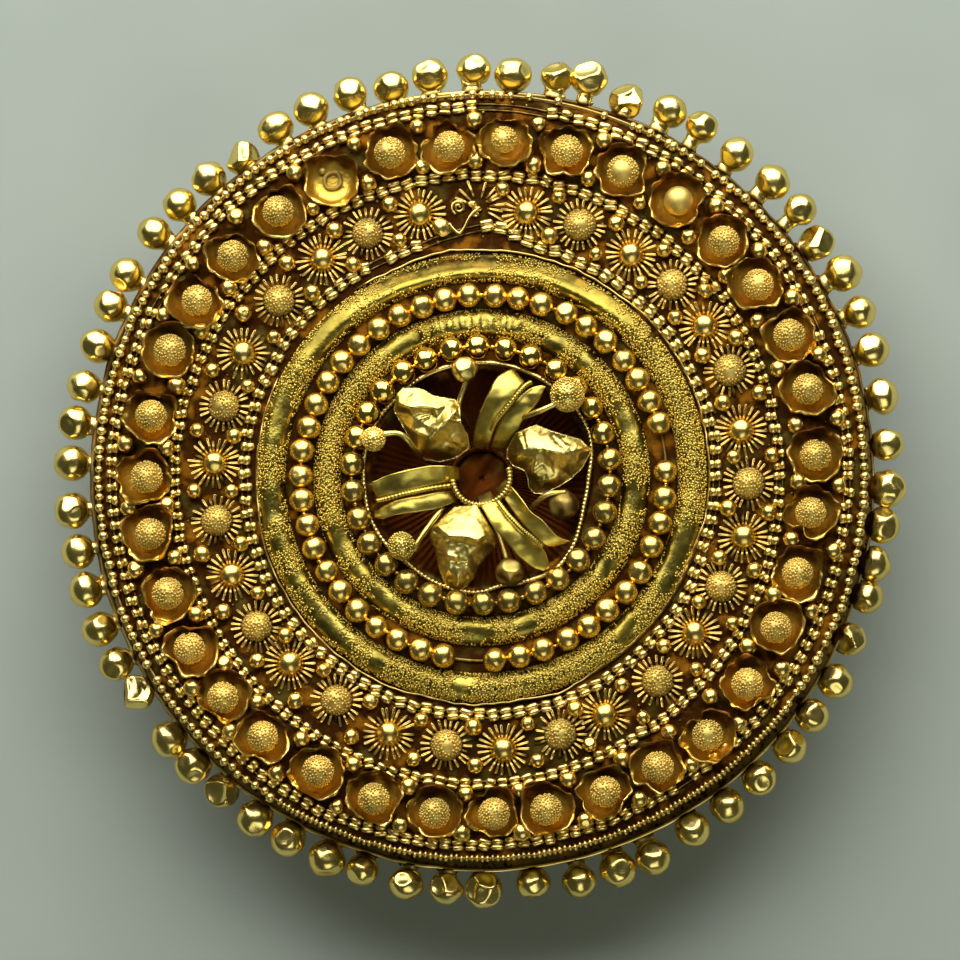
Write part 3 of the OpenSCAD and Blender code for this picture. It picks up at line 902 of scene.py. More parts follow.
def cup_wall():
    """Flower cups of thin sheet with lobed, wavy rims, pressed in where they meet their neighbours."""
    dice = np.random.default_rng(71)
    mould = Mould()
    share = np.repeat([row[2] for row in CUP_WALL], CUP_SIDES)
    for k, (reach, angle) in enumerate(CUP_PLACES):
        points, faces = turned([row[:2] for row in CUP_WALL], CUP_SIDES)
        depth = np.r_[share, 0, 0]
        lobes = dice.choice([7, 8, 8, 8])
        turn = np.arctan2(points[:, 1], points[:, 0])
        rim = np.column_stack([np.cos(turn), np.sin(turn)])
        bent = turn + 0.22 * wobble(rim, 2.2, 740 + k)
        petals = np.abs(np.sin(lobes * bent / 2 + dice.uniform(0, 3))) ** 0.7 - 0.7
        crooked = wobble(rim, 1.4, 700 + k)
        pressed = np.zeros(len(turn))
        for _ in range(dice.integers(2, 5)):
            where = dice.uniform(-math.pi, math.pi)
            push = dice.uniform(0.04, 0.2)
            pressed += push * np.exp(-((1 - np.cos(turn - where)) / dice.uniform(0.03, 0.14)))
        lobed = dice.uniform(0.01, 0.055) * petals
        points[:, :2] *= (1 + depth * (lobed + 0.07 * crooked - pressed))[:, None]
        crumpled = np.column_stack([rim, np.hypot(points[:, 0], points[:, 1])])
        ragged = depth ** 3 * wobble(crumpled, 0.5, 780 + k)
        torn = depth ** 4 * np.maximum(wobble(rim, 0.9, 790 + k) - 0.35, 0)
        points[:, 2] *= 1 + depth * (0.08 * petals + 0.2 * crooked) + 0.1 * ragged - 0.35 * torn
        points[:, :2] *= (1 + 0.045 * ragged)[:, None]
        outermost = CUP_REACH - PRESSED_IN * swell(angle, 275, 50, 4) + 0.06 * crooked
        points[:, 0] = np.clip(points[:, 0], -CUP_REACH, outermost)
        points[:, 1] = np.clip(points[:, 1], -CUP_HALF_WIDTH, CUP_HALF_WIDTH)
        reach, angle = reach + dice.normal(0, 0.07), angle + dice.normal(0, 0.15)
        mould.add(stand(points, reach, angle, FRONT + SEAM), faces)
    return mould


def cup_shade_share(points):
    """How much painted shade darkens points on the cups, most of it inside their upper sides, from 0 to 1."""
    away = points[:, None, :2] - on_ring(*CUP_PLACES.T, 0.0)[:, :2]
    nearest = np.hypot(away[..., 0], away[..., 1]).argmin(axis=1)
    up = away[np.arange(len(points)), nearest, 1] / CUP_WALL[5][0]
    return np.clip(0.2 + 1.3 * up + 0.35 * wobble(points, 1.6, 23), 0, 0.95)


def grained_dome(mould, centre, radius, dice, grain, low, worn=1.1):
    """A dome with tiny grains soldered all over it down to a height; worn smooth above `worn` radii."""
    points, faces = ball(3)
    mould.add(centre + (radius - 0.5 * grain) * points, faces)
    count = int(2.5 * radius ** 2 / grain ** 2)
    k = np.arange(count) + 0.5
    tall = 1 - 2 * k / count
    turn = k * math.pi * (3 - math.sqrt(5))
    wide = np.sqrt(1 - tall ** 2)
    spots = np.column_stack([wide * np.cos(turn), wide * np.sin(turn), tall])
    spots += dice.normal(0, 0.22 * grain / radius, spots.shape)
    spots /= np.linalg.norm(spots, axis=1, keepdims=True)
    tilt = unit(dice.normal(size=3) * 0.35 + (0, 0, 1))
    keep = (spots[:, 2] > low) & (spots @ tilt < worn) & (dice.random(count) > 0.06)
    sizes = grain * dice.uniform(0.75, 1.15, keep.sum())
    mould.scatter(ball(1), centre + (radius - 0.35 * grain) * spots[keep], sizes)


# Balls that differ from the rest, by their place: worn smooth on top, or without grains
WORN_BALLS = {6: 0.72, 8: 0.9, 3: 0.93, 10: 0.95, 30: 0.93}
PLAIN_BALL = 5
SMALL_BALL = 8
CUP_BALL_R = 1.25
BALL_GRAIN = 0.122


def cup_balls():
    """Hollow balls covered with grains, one in each cup but the lost one."""
    dice = np.random.default_rng(81)
    mould = Mould()
    for k, spot in enumerate(CUP_PLACES):
        seat = on_ring(*spot, FRONT + SEAM)
        foot = turned([(0.7, 0.3), (0.7, 0.6)], 16)
        if k == LOST_BALL:
            points, faces = tube(on_ring(0.66, np.arange(24) * 15.0, 0.36), 0.2, 8, closed=True)
            mould.add(seat + points + 0.05 * wobble(points, 0.8, 83)[:, None], faces)
            mould.scatter(ball(2), [seat + (-0.8, 0.75, 0.5)], 0.3)
            continue
        mould.add(seat + foot[0], foot[1])
        radius = CUP_BALL_R * dice.uniform(0.97, 1.02) * (0.82 if k == SMALL_BALL else 1)
        centre = seat + (0, 0, 0.95)
        if k == PLAIN_BALL:
            points, faces = ball(4)
            mould.add(centre + 0.93 * radius * points, faces)
        else:
            grained_dome(mould, centre, radius, dice, BALL_GRAIN, -0.05, WORN_BALLS.get(k, 1.1))
    return mould


def granules(rings, places, radius, seed, lost=()):
    """Plain round granules half way between the places of a row, on a ring inside it and one outside it."""
    dice = np.random.default_rng(seed)
    mould = Mould()
    for ring in rings:
        for k, (_, first) in enumerate(places):
            if (ring, k) in lost:
                continue
            size = radius * dice.uniform(0.88, 1.12)
            points, faces = dented_ball(dice, dice.integers(0, 3), 0.16, level=3)
            angle = first + (places[(k + 1) % len(places)][1] - first) % 360 / 2
            mould.add(stand(size * points, ring + dice.normal(0, 0.08), angle + dice.normal(0, 0.25),
                            FRONT + SEAM + radius), faces)
    return mould


PETALS = 23
PETAL_REACH = 2.06
PETAL_WIRE_R = 0.062
PETAL_TIP_R = 0.06


def petal(length):
    """A narrow loop of fine wire that points outwards and widens to its tip, its two ends at the dome."""
    out = [(0, -0.025, 0.34), (0.5 * length, -0.043, 0.35)]
    back = [(0.5 * length, 0.043, 0.35), (0, 0.025, 0.34)]
    tip = on_ring(PETAL_TIP_R, np.linspace(-90, 90, 5), 0.26) + (length - PETAL_TIP_R, 0, 0)
    return tube(np.vstack([out, tip, back]), PETAL_WIRE_R, 5)


def rosettes():
    """Sunburst rosettes: loops of fine wire round plain domes, and apart from them the grained domes."""
    dice = np.random.default_rng(91)
    mould, domes = Mould(), Mould()
    for k, spot in enumerate(ROSETTE_PLACES):
        if k == LOST_ROSETTE:
            continue
        seat = on_ring(*spot, FRONT + SEAM)
        grained = k % 2 == 1
        dome = (1.22 if grained else 1.05) * dice.uniform(0.97, 1.03)
        start = 0.86 * dome
        for i in range(PETALS):
            points, faces = petal(PETAL_REACH - start + dice.normal(0, 0.05))
            points = points + np.array([start, 0, 0])
            points[:, 2] += points[:, 0] * dice.normal(0, 0.07)
            points = spin(points, 360 * (i + dice.normal(0, 0.1)) / PETALS)
            mould.add(seat + points, faces)
        if grained:
            grained_dome(domes, seat + (0, 0, 0.42), dome, dice, 0.13, -0.05, dice.choice([1.1, 0.97, 0.93]))
        else:
            points, faces = dented_ball(dice, dice.integers(0, 3), 0.12, level=3)
            mould.add(seat + (0, 0, 0.38) + dome * points, faces)
    return mould, domes


# The wreck: a rosette that has lost its dome and half of its loops, with a spiral and a folded scrap of sheet
# beside it. Each is placed by angle and distance in pixels
WRECK_AT = (90.3, 270.6)
WRECK_LOOPS = (-32, -14, 2, 18, 38, 57, 76, 112, 136, 158)
WRECK_LUMPS = [
    (91.6, 274, 0.3), (90.6, 270, 0.34), (91.1, 264, 0.26), (88.2, 252, 0.32), (86.4, 252, 0.28)]
SPIRAL_AT = (94.5, 271.5)
SCRAP_AT = (98.8, 253.7)
BENT_WIRE = [(449, 223), (454, 229.5), (459.5, 233), (464.5, 227), (468, 219.5), (473, 212.5), (480, 207)]


def smooth_path(points, steps):
    """A smooth curve through a few points."""
    points = np.asarray(points, float)
    padded = np.vstack([2 * points[0] - points[1], points, 2 * points[-1] - points[-2]])
    path = []
    for a, b, c, d in zip(padded, padded[1:], padded[2:], padded[3:]):
        t = np.linspace(0, 1, steps, endpoint=False)[:, None]
        path.append(0.5 * (2 * b + (c - a) * t + (2 * a - 5 * b + 4 * c - d) * t ** 2
                           + (3 * b - a - 3 * c + d) * t ** 3))
    return np.vstack(path + [points[-1:]])


def wrecked_rosette():
    """Loops, lumps of solder, a spiral and a scrap of folded sheet where one rosette was torn away."""
    dice = np.random.default_rng(93)
    mould = Mould()
    seat = seen(*WRECK_AT, FRONT + SEAM)
    for turn in WRECK_LOOPS:
        points, faces = petal(1.2 + dice.normal(0, 0.12))
        points[:, 2] += points[:, 0] * dice.normal(0.05, 0.16)
        points = points + np.array([0.8 + dice.normal(0, 0.08), 0, 0])
        mould.add(seat + spin(points, turn + dice.normal(0, 5)), faces)
    for angle, radius_px, size in WRECK_LUMPS:
        points, faces = dented_ball(dice, 5, 0.5, level=3)
        mould.add(seen(angle, radius_px, FRONT + 0.3) + size * points * (1.3, 0.9, 0.8), faces)
    turns = np.linspace(0, 1.7 * 360, 36)
    spiral = on_ring(0.1 + 0.5 * turns / turns[-1], turns, 0.25 + 0.1 * np.sin(turns / 70))
    points, faces = tube(spiral, 0.11, 6)
    mould.add(seen(*SPIRAL_AT, FRONT + SEAM) + points, faces)
    points, faces = ball(3)
    folded = points * (0.9, 0.76, 0.5) * (1 + 0.1 * wobble(points, 0.9, 94))[:, None]
    mould.add(seen(*SCRAP_AT, FRONT + 0.35) + spin(folded, -32), faces)
    mould.add(*tube(smooth_path(seen_px(*np.transpose(BENT_WIRE), FRONT + 0.55), 5), 0.12, 6))
    return mould


def strung_spheres(ring, middle, count, start, drift, radius, lost, seed):
    """A ring of hollow spheres with tiny grains at the joints between them."""
    dice = np.random.default_rng(seed)
    mould = Mould()
    height = FRONT + SEAM + radius
    where = [place(k, count, start, drift) for k in range(count + 1)]
    for k in range(count):
        if k in lost:
            continue
        points, faces = dented_ball(dice, dice.integers(1, 4), 0.13, level=3)
        points = radius * dice.uniform(0.97, 1.03) * points
        mould.add(middle + stand(points, ring + dice.normal(0, 0.04), where[k] + dice.normal(0, 0.2),
                                 height + dice.normal(0, 0.04)), faces)
        if (k + 1) % count not in lost:
            joint = (where[k] + where[k + 1]) / 2
            spots = middle + stand(dice.normal(0, 0.05, (1, 3)), ring, joint, height + 0.1)
            mould.scatter(ball(2), spots, dice.uniform(0.1, 0.2))
    core = np.arange(360) * 1.0
    mould.add(*tube(middle + on_ring(ring, core, FRONT + SEAM + 0.1), 0.15, 5, closed=True))
    return mould


# How much painted shade darkens the inner ring of spheres, by angle
SPHERE_SHADE = [(0, 0.3), (20, 0.1), (40, 0), (150, 0), (190, 0.35), (270, 0.48), (335, 0.4), (360, 0.3)]


def sphere_shade(points):
    """How much painted shade darkens points on the inner ring of spheres, from 0 to 1."""
    return np.clip(around(SPHERE_SHADE, bearing(points)) * (1 + 0.4 * wobble(points, 1.5, 46)), 0, 0.95)


# The flower, charted on an enlargement of the photo: its scale, and the photo's pixel at its corner
FLOWER_SCALE = 5.41
FLOWER_CORNER = (340, 330)


def charted(rows):
    """Points of the flower from rows of the chart's x and y and the height over the face."""
    x, y, height = np.asarray(rows, float).T
    return seen_px(FLOWER_CORNER[0] + x / FLOWER_SCALE, FLOWER_CORNER[1] + y / FLOWER_SCALE, FRONT + height)


def centre_ring():
    """The beaded wire left on the lower side of the tube's end."""
    beads_left, steps = 27, 8
    angles = np.linspace(186, 378, beads_left * steps + 1)
    beads = np.abs(np.sin(np.arange(len(angles)) * math.pi / steps))
    path = on_ring(2.3 + 0.04 * np.sin(angles / 17), angles, TUBE_TOP + SEAM + 0.16)
    return Mould(tube(path, 0.15 + 0.12 * beads ** 0.6, 8))


# The tube's edge is torn away between these angles
TORN_EDGE = (14, 190)
TUBE_SIDES = 120


def torn_tube():
    """The thin tube in the bowl, its upper edge torn and bent in, with soil left inside."""
    angles = np.arange(TUBE_SIDES) * 360 / TUBE_SIDES
    places = on_ring(2.4, angles, 0.0)
    middle, half = sum(TORN_EDGE) / 2, (TORN_EDGE[1] - TORN_EDGE[0]) / 2
    torn = np.clip((1 - apart(angles, middle) / half) * 5, 0, 1)
    lost = torn * (0.95 + 0.3 * wobble(places, 1.3, 131) + 0.15 * wobble(places, 0.5, 132))
    bent = torn * 0.12 * wobble(places, 1.1, 133)
    foot, top = FLOOR_Z + SEAM, TUBE_TOP - lost
    rows = [(0, foot), (0, FRONT - 1.0), (0.5 * bent, FRONT - 0.2), (bent - 0.02, top - 0.05),
            (bent - 0.12, top), (bent - 0.26, top - 0.08), (-0.32, FRONT - 0.4), (-0.36, FRONT - 1.6),
            (-0.36, foot)]
    points = np.concatenate([on_ring(TUBE_R + inset, angles, z) for inset, z in rows])
    mould = Mould(wrapped(points, len(rows), closed=True, flipped=True))
    steps = np.linspace(0.05, TUBE_R - 0.4, 9)
    top = np.concatenate([on_ring(r, angles, FRONT - 1.1) for r in steps])
    top[:, 2] += 0.22 * wobble(top, 1.4, 134)
    under = [on_ring(r, angles, FRONT - 1.7) for r in steps[::-1]]
    mould.add(*wrapped(np.concatenate([top, *under]), 2 * len(steps), flipped=True))
    return mould


# Leaves: for each strap its lean across, then rows from root to tip of one edge, the other edge, the height
# over the face and the hump between the edges; then the midrib's points
LEAF_PAIRS = {
    "leaf_pair_1": ([
        (0.1, [
            (715, 640, 800, 645, -0.3, 0.1), (722, 560, 818, 590, 0.9, 0.1),
            (745, 475, 850, 500, 1.8, 0.1), (778, 392, 894, 432, 2.4, 0.12),
            (812, 322, 937, 368, 2.6, 0.12), (852, 258, 976, 312, 2.4, 0.1),
            (902, 222, 996, 282, 1.9, 0.05), (944, 212, 982, 264, 1.4, 0.0)]),
        (-0.1, [
            (815, 640, 900, 645, -0.3, 0.1), (828, 585, 948, 592, 0.7, 0.1),
            (858, 512, 972, 525, 1.6, 0.1), (896, 446, 1008, 466, 2.0, 0.12),
            (938, 392, 1052, 422, 2.1, 0.15), (984, 348, 1090, 364, 2.1, 0.15),
            (1040, 314, 1108, 326, 2.0, 0.1), (1096, 303, 1122, 311, 1.9, 0.0)])], [
        (820, 545, 1.5), (840, 500, 2.1), (872, 458, 2.5), (918, 402, 2.8), (966, 340, 2.85),
        (1004, 300, 2.7), (1034, 283, 2.4)]),
    "leaf_pair_2": ([
        (0.5, [
            (650, 812, 645, 742, 0.1, 0.0), (592, 824, 592, 736, 1.0, -0.05),
            (506, 838, 497, 734, 1.6, -0.08), (410, 861, 410, 748, 1.8, -0.1),
            (323, 882, 323, 767, 1.7, -0.1), (241, 902, 241, 794, 1.3, -0.08),
            (200, 904, 180, 822, 1.1, -0.05), (170, 862, 160, 836, 0.9, 0.0)]),
        (-0.12, [
            (655, 930, 650, 868, 0.1, 0.1), (612, 936, 590, 872, 0.9, 0.1),
            (518, 968, 518, 880, 1.4, 0.1), (400, 989, 410, 900, 1.6, 0.12),
            (300, 1003, 308, 922, 1.5, 0.12), (236, 1023, 245, 951, 1.1, 0.1),
            (190, 1018, 194, 992, 0.7, 0.05)])], [
        (600, 842, 1.3), (497, 857, 1.9), (410, 874, 2.1), (332, 891, 2.0), (245, 915, 1.7),
        (200, 925, 1.5)]),
    "leaf_pair_3": ([
        (-0.1, [
            (740, 900, 815, 868, 0.2, 0.1), (764, 954, 848, 930, 1.3, 0.12),
            (828, 1062, 908, 1008, 1.9, 0.12), (902, 1152, 986, 1092, 2.0, 0.12),
            (968, 1228, 1050, 1148, 1.7, 0.12), (1040, 1284, 1104, 1192, 1.3, 0.1),
            (1104, 1308, 1136, 1290, 1.0, 0.05)]),
        (0.4, [
            (840, 862, 895, 805, 0.2, 0.1), (882, 908, 938, 856, 1.2, -0.05),
            (944, 994, 990, 922, 1.7, -0.08), (990, 1046, 1036, 984, 1.8, -0.1),
            (1052, 1110, 1098, 1030, 1.7, -0.1), (1112, 1166, 1176, 1112, 1.4, -0.05),
            (1160, 1180, 1254, 1148, 1.0, 0.0)])], [
        (853, 925, 1.7), (903, 992, 2.2), (952, 1046, 2.4), (992, 1086, 2.4), (1044, 1128, 2.2),
        (1094, 1173, 1.8)])}
LEAF_T = 0.14


def stretched(rows, steps):
    """A table of rows made smooth and longer by curves through its rows."""
    return smooth_path(rows, max(2, steps // (len(rows) - 1)))


def leaf_pair(name):
    """Two arched straps of thin sheet side by side, with a beaded wire between them."""
    leaves, rib = LEAF_PAIRS[name]
    mould = Mould()
    across = np.linspace(0, 1, 11)
    for n, (lean, rows) in enumerate(leaves):
        rows = stretched(rows, 44)
        along = np.linspace(0, 1, len(rows))
        dice = np.random.default_rng(300 + n)
        ragged = np.cumsum(dice.normal(0, 1.2, (len(rows), 2)), axis=0) * along[:, None] ** 2
        tops, backs = [], []
        for t in across:
            spots = rows[:, 0:2] + (rows[:, 2:4] - rows[:, 0:2]) * t + ragged * (1, 0.4)
            height = rows[:, 4] + rows[:, 5] * np.sin(math.pi * t) + lean * (t - 0.5)
            tops.append(np.column_stack([spots, height]))
            backs.append(np.column_stack([spots, height - LEAF_T]))
        points = charted(np.stack(tops + backs[::-1], axis=1).reshape(-1, 3))
        points[:, 2] += 0.03 * wobble(points[:, :2], 1.2, 310 + n)
        mould.add(*wrapped(points, len(rows)))
    path = stretched(charted(rib), 72)
    beads = np.abs(np.sin(np.arange(len(path)) * math.pi / 3))
    mould.add(*tube(path, 0.15 + 0.07 * beads, 7))
    return mould


# Heads: outline, points inside it, and scored lines with their depth (less than nothing for a rib)
HEADS = {
    "head_1": ([
        (935, 735, 0.2), (900, 690, 0.2), (905, 640, 0.7), (952, 557, 1.5), (1022, 524, 1.7),
        (1064, 511, 1.6), (1146, 544, 1.6), (1237, 573, 1.5), (1304, 590, 1.3), (1337, 627, 1.3),
        (1370, 644, 1.0), (1345, 685, 0.7), (1316, 743, 0.4), (1258, 801, 0.3), (1192, 842, 0.3),
        (1101, 888, 0.1), (1050, 884, 0.1), (1018, 850, 0.2), (1014, 800, 0.6), (1000, 765, 0.6),
        (970, 748, 0.4)], [
        (975, 590, 2.2), (1000, 640, 2.4), (1040, 575, 2.2), (1090, 640, 2.8), (1150, 577, 2.2),
        (1213, 640, 2.6), (1220, 668, 2.7), (1150, 655, 2.85), (1262, 623, 2.1), (1300, 648, 2.0),
        (1335, 655, 1.5), (1060, 700, 2.2), (1110, 730, 1.6), (1180, 745, 1.5), (1230, 730, 1.8),
        (1285, 725, 1.4), (1300, 760, 0.9), (1040, 770, 1.5), (1100, 810, 1.2), (1170, 800, 1.0),
        (960, 680, 1.6)], [
        (1150, 577, 1213, 640, 0.2), (1217, 602, 1262, 623, 0.14), (1047, 768, 1097, 735, -0.16),
        (1068, 817, 1109, 797, -0.16), (1088, 838, 1117, 813, -0.14), (985, 560, 1005, 640, 0.22),
        (1040, 655, 1215, 672, -0.08), (1276, 735, 1292, 735, 0.2)]),
    "head_2": ([
        (411, 655, 0.6), (365, 569, 0.9), (291, 436, 0.9), (307, 345, 1.4), (341, 308, 1.5),
        (403, 308, 1.6), (452, 320, 1.7), (506, 353, 1.7), (622, 374, 1.6), (647, 407, 1.8),
        (655, 500, 2.2), (690, 560, 1.2), (705, 640, 0.2), (640, 690, -0.3), (540, 715, -0.4),
        (455, 700, -0.1)], [
        (318, 400, 2.0), (382, 420, 2.7), (440, 412, 2.8), (500, 418, 2.6), (440, 448, 2.0),
        (500, 455, 1.9), (400, 470, 2.1), (382, 545, 1.6), (430, 560, 2.1), (465, 520, 2.1),
        (530, 480, 2.2), (590, 410, 2.1), (630, 430, 2.7), (585, 485, 3.0), (530, 535, 2.9),
        (480, 585, 2.5), (600, 520, 2.4), (540, 590, 1.9), (480, 640, 1.4), (600, 600, 1.5),
        (640, 560, 1.7), (560, 650, 1.0)], [
        (612, 480, 640, 484, 0.35), (440, 482, 481, 469, -0.2), (475, 512, 520, 552, -0.06),
        (487, 500, 532, 540, -0.06), (590, 400, 600, 470, 0.1), (330, 350, 380, 352, 0.06),
        (560, 600, 620, 615, 0.12), (595, 590, 600, 630, -0.1)]),
    "head_3": ([
        (735, 940, 1.2), (620, 955, 1.1), (560, 1005, 1.3), (495, 1068, 1.7), (482, 1130, 1.2),
        (516, 1188, 0.9), (528, 1280, 0.6), (557, 1358, 0.4), (590, 1404, 0.3), (648, 1416, 0.3),
        (689, 1387, 0.4), (731, 1333, 0.5), (747, 1280, 0.7), (789, 1230, 0.8), (838, 1180, 1.0),
        (843, 1114, 1.8), (800, 1040, 1.8), (770, 990, 1.5)], [
        (532, 1062, 2.1), (620, 1010, 1.8), (600, 1070, 2.4), (680, 1050, 2.3), (722, 1020, 2.2),
        (586, 1118, 2.8), (681, 1124, 3.0), (747, 1142, 3.0), (785, 1122, 2.8), (760, 1070, 2.6),
        (590, 1146, 2.1), (681, 1156, 2.2), (747, 1172, 2.1), (570, 1200, 1.9), (588, 1220, 2.1),
        (632, 1234, 2.1), (640, 1262, 1.7), (700, 1210, 1.9), (590, 1300, 1.5), (640, 1330, 1.6),
        (690, 1290, 1.5), (640, 1385, 1.0)], [
        (495, 1077, 586, 1131, 0.16), (586, 1131, 681, 1136, 0.16), (681, 1136, 747, 1156, 0.16),
        (747, 1156, 785, 1136, 0.16), (785, 1136, 843, 1114, 0.14), (545, 1212, 631, 1232, -0.12),
        (557, 1250, 764, 1258, 0.12), (590, 1342, 596, 1342, 0.2), (673, 1333, 678, 1333, 0.2),
        (720, 1000, 728, 1090, 0.1)])}
SHEET_GRID = 0.13


def from_segment(points, first, last):
    """Distance of points from a straight line between two others, in plan."""
    along = last - first
    share = np.clip((points - first) @ along / (along @ along), 0, 1)
    return np.linalg.norm(points - first - share[:, None] * along, axis=1)


def facets(points, rim):
    """Triangles over points whose first `rim` go round the outline."""
    spots = [Vector(p) for p in points[:, :2].tolist()]
    found = delaunay_2d_cdt(spots, [], [list(range(rim))], 1, 1e-5)
    return np.array([[found[3][v][0] for v in face] for face in found[2]])


def over_facets(points, knots, triangles):
    """Heights of a faceted surface under points in plan."""
    a, b, c = (knots[triangles[:, n]] for n in range(3))
    u, v = (b - a)[:, :2], (c - a)[:, :2]
    area = u[:, 0] * v[:, 1] - u[:, 1] * v[:, 0]
    w = points[:, None, :2] - a[None, :, :2]
    second = (w[..., 0] * v[:, 1] - w[..., 1] * v[:, 0]) / area
    third = (u[:, 0] * w[..., 1] - u[:, 1] * w[..., 0]) / area
    shares = np.clip(np.stack([1 - second - third, second, third], axis=-1), -0.2, 1.2)
    best = shares.min(axis=-1).argmax(axis=1)
    rows = np.arange(len(points))
    shares = shares[rows, best]
    heights = np.stack([a[best, 2], b[best, 2], c[best, 2]], axis=-1)
    return (shares * heights).sum(axis=1) / shares.sum(axis=1)


def from_edge(points, edge):
    """Distance of points from the nearest leg of an outline, in plan."""
    legs = zip(edge[:, :2], np.roll(edge, -1, axis=0)[:, :2])
    return np.min([from_segment(points[:, :2], first, last) for first, last in legs], axis=0)


def even_sheet(rim, seed):
    """A fine even net of points and triangles inside an outline, and how many of them lie on the outline."""
    dice = np.random.default_rng(seed)
    following = np.roll(rim, -1, axis=0)
    counts = [max(2, round(leg / SHEET_GRID)) for leg in np.linalg.norm(following - rim, axis=1)]
    edge = np.vstack([a + (b - a) * np.linspace(0, 1, count, endpoint=False)[:, None]
                      for a, b, count in zip(rim, following, counts)])
    low, high = edge.min(axis=0), edge.max(axis=0)
    across, up = (np.arange(low[n], high[n], SHEET_GRID) for n in (0, 1))
    grid = np.stack(np.meshgrid(across, up), -1).reshape(-1, 2)
    grid = grid + dice.uniform(-0.02, 0.02, (len(grid), 2))
    grid = grid[from_edge(grid, edge) > 0.5 * SHEET_GRID]
    points = np.vstack([edge, np.column_stack([grid, np.zeros(len(grid))])])
    faces = facets(points, len(edge))
    inside = np.unique(faces)
    number = np.zeros(len(points), int)
    number[inside] = np.arange(len(inside))
    return points[inside], number[faces], edge


SCORE_WIDTH = 0.11
HEAD_T = 0.14
HEAD_DEPTH = 1.1


def head(name, seed):
    """An animal head beaten from thin sheet: facets, scored lines and ribs, closed below."""
    outline, inner, lines = HEADS[name]
    rim = charted(outline)
    knots = np.vstack([rim, charted(inner)])
    triangles = facets(knots, len(rim))
    points, faces, edge = even_sheet(rim, seed)
    jitter = [(0, 0, 0), (0.07, 0, 0), (-0.07, 0, 0), (0, 0.07, 0), (0, -0.07, 0)]
    tall = np.mean([over_facets(points + step, knots, triangles) for step in jitter], axis=0)
    for x1, y1, x2, y2, score in lines:
        ends = charted([(x1, y1, 2), (x2, y2, 2)])[:, :2]
        tall -= score * np.exp(-(from_segment(points[:, :2], *ends) / SCORE_WIDTH) ** 2)
    tall += 0.05 * np.abs(wobble(points[:, :2], 1.1, seed)) + 0.022 * wobble(points[:, :2], 0.5, seed + 1)
    under = tall - HEAD_T - HEAD_DEPTH * (1 - np.exp(-(from_edge(points, edge) / 0.8) ** 2))
    count, ring = len(points), np.arange(len(edge))
    side = np.column_stack([ring, ring + count, np.roll(ring, -1) + count, np.roll(ring, -1)])
    top = np.column_stack([faces, faces[:, 2]])
    bottom = np.column_stack([faces[:, ::-1], faces[:, 0]]) + count
    sheets = [np.column_stack([points[:, :2], heights]) for heights in (tall, under)]
    return Mould((np.vstack(sheets), np.vstack([top, bottom, side])))


# Stalk balls: the ball on the chart and its height over the face, its radius, grained or not, and the stalk
STALKS = {
    "stalk_ball_1": ((1230, 350, 2.6), 1.36, True, [
        (925, 560, -1.2), (960, 500, 0.6), (1000, 470, 1.9), (1095, 432, 2.6), (1185, 392, 2.8)]),
    "stalk_ball_2": ((675, 215, 2.2), 1.05, False, [
        (690, 520, -1.0), (650, 440, 1.0), (648, 380, 1.8), (668, 318, 2.1), (690, 262, 2.2)]),
    "stalk_ball_3": ((182, 590, 2.3), 0.95, True, [
        (470, 690, -0.8), (410, 652, 1.2), (372, 604, 2.2), (318, 560, 2.5), (235, 562, 2.5)]),
    "stalk_ball_4": ((333, 1168, 1.8), 1.1, True, [
        (600, 930, -0.6), (545, 978, 1.1), (480, 1062, 1.7), (425, 1142, 2.0), (398, 1196, 1.9)]),
    "stalk_ball_5": ((918, 1310, 1.1), 1.15, False, [
        (800, 960, -1.2), (850, 1090, -0.4), (885, 1190, 0.5), (905, 1250, 1.0), (915, 1290, 1.1)]),
    "stalk_ball_6": ((1208, 945, 0.8), 1.25, False, [
        (1000, 1010, -1.2), (1030, 972, 0.2), (1072, 926, 1.1), (1135, 886, 1.6), (1222, 878, 1.6)])}
STALK_R = 0.23
# Balls painted dark as shade, most on their lower parts
SHADED_BALLS = ("stalk_ball_5", "stalk_ball_6")


def ball_shade_share(points, name):
    """How much painted shade darkens points on a ball, most on its lower part; its stalk has none."""
    where, radius, _, _ = STALKS[name]
    centre = charted([where])[0]
    on_ball = np.clip((1.12 * radius - np.linalg.norm(points - centre, axis=1)) * 12, 0, 1)
    low = np.clip(1 - (points[:, 2] - FRONT - 1.2) / 2 + 0.25 * wobble(points, 1.1, 47), 0.3, 0.97)
    return on_ball * low


def stalk_ball(name, seed):
    """A ball at the end of a bent wire that rises from the foot of the flower."""
    where, radius, grained, stalk = STALKS[name]
    dice = np.random.default_rng(seed)
    path = smooth_path(charted(stalk), 8)
    mould = Mould(tube(path, STALK_R + 0.02 * wobble(path, 1.2, seed), 9, reference=(0.3, 0.2, 0.1)))
    centre = charted([where])[0]
    if grained:
        grained_dome(mould, centre, radius, dice, 0.12, -1.1)
    else:
        points, faces = dented_ball(dice, 4, 0.2)
        mould.add(centre + radius * points, faces)
    return mould


# Casting the pieces

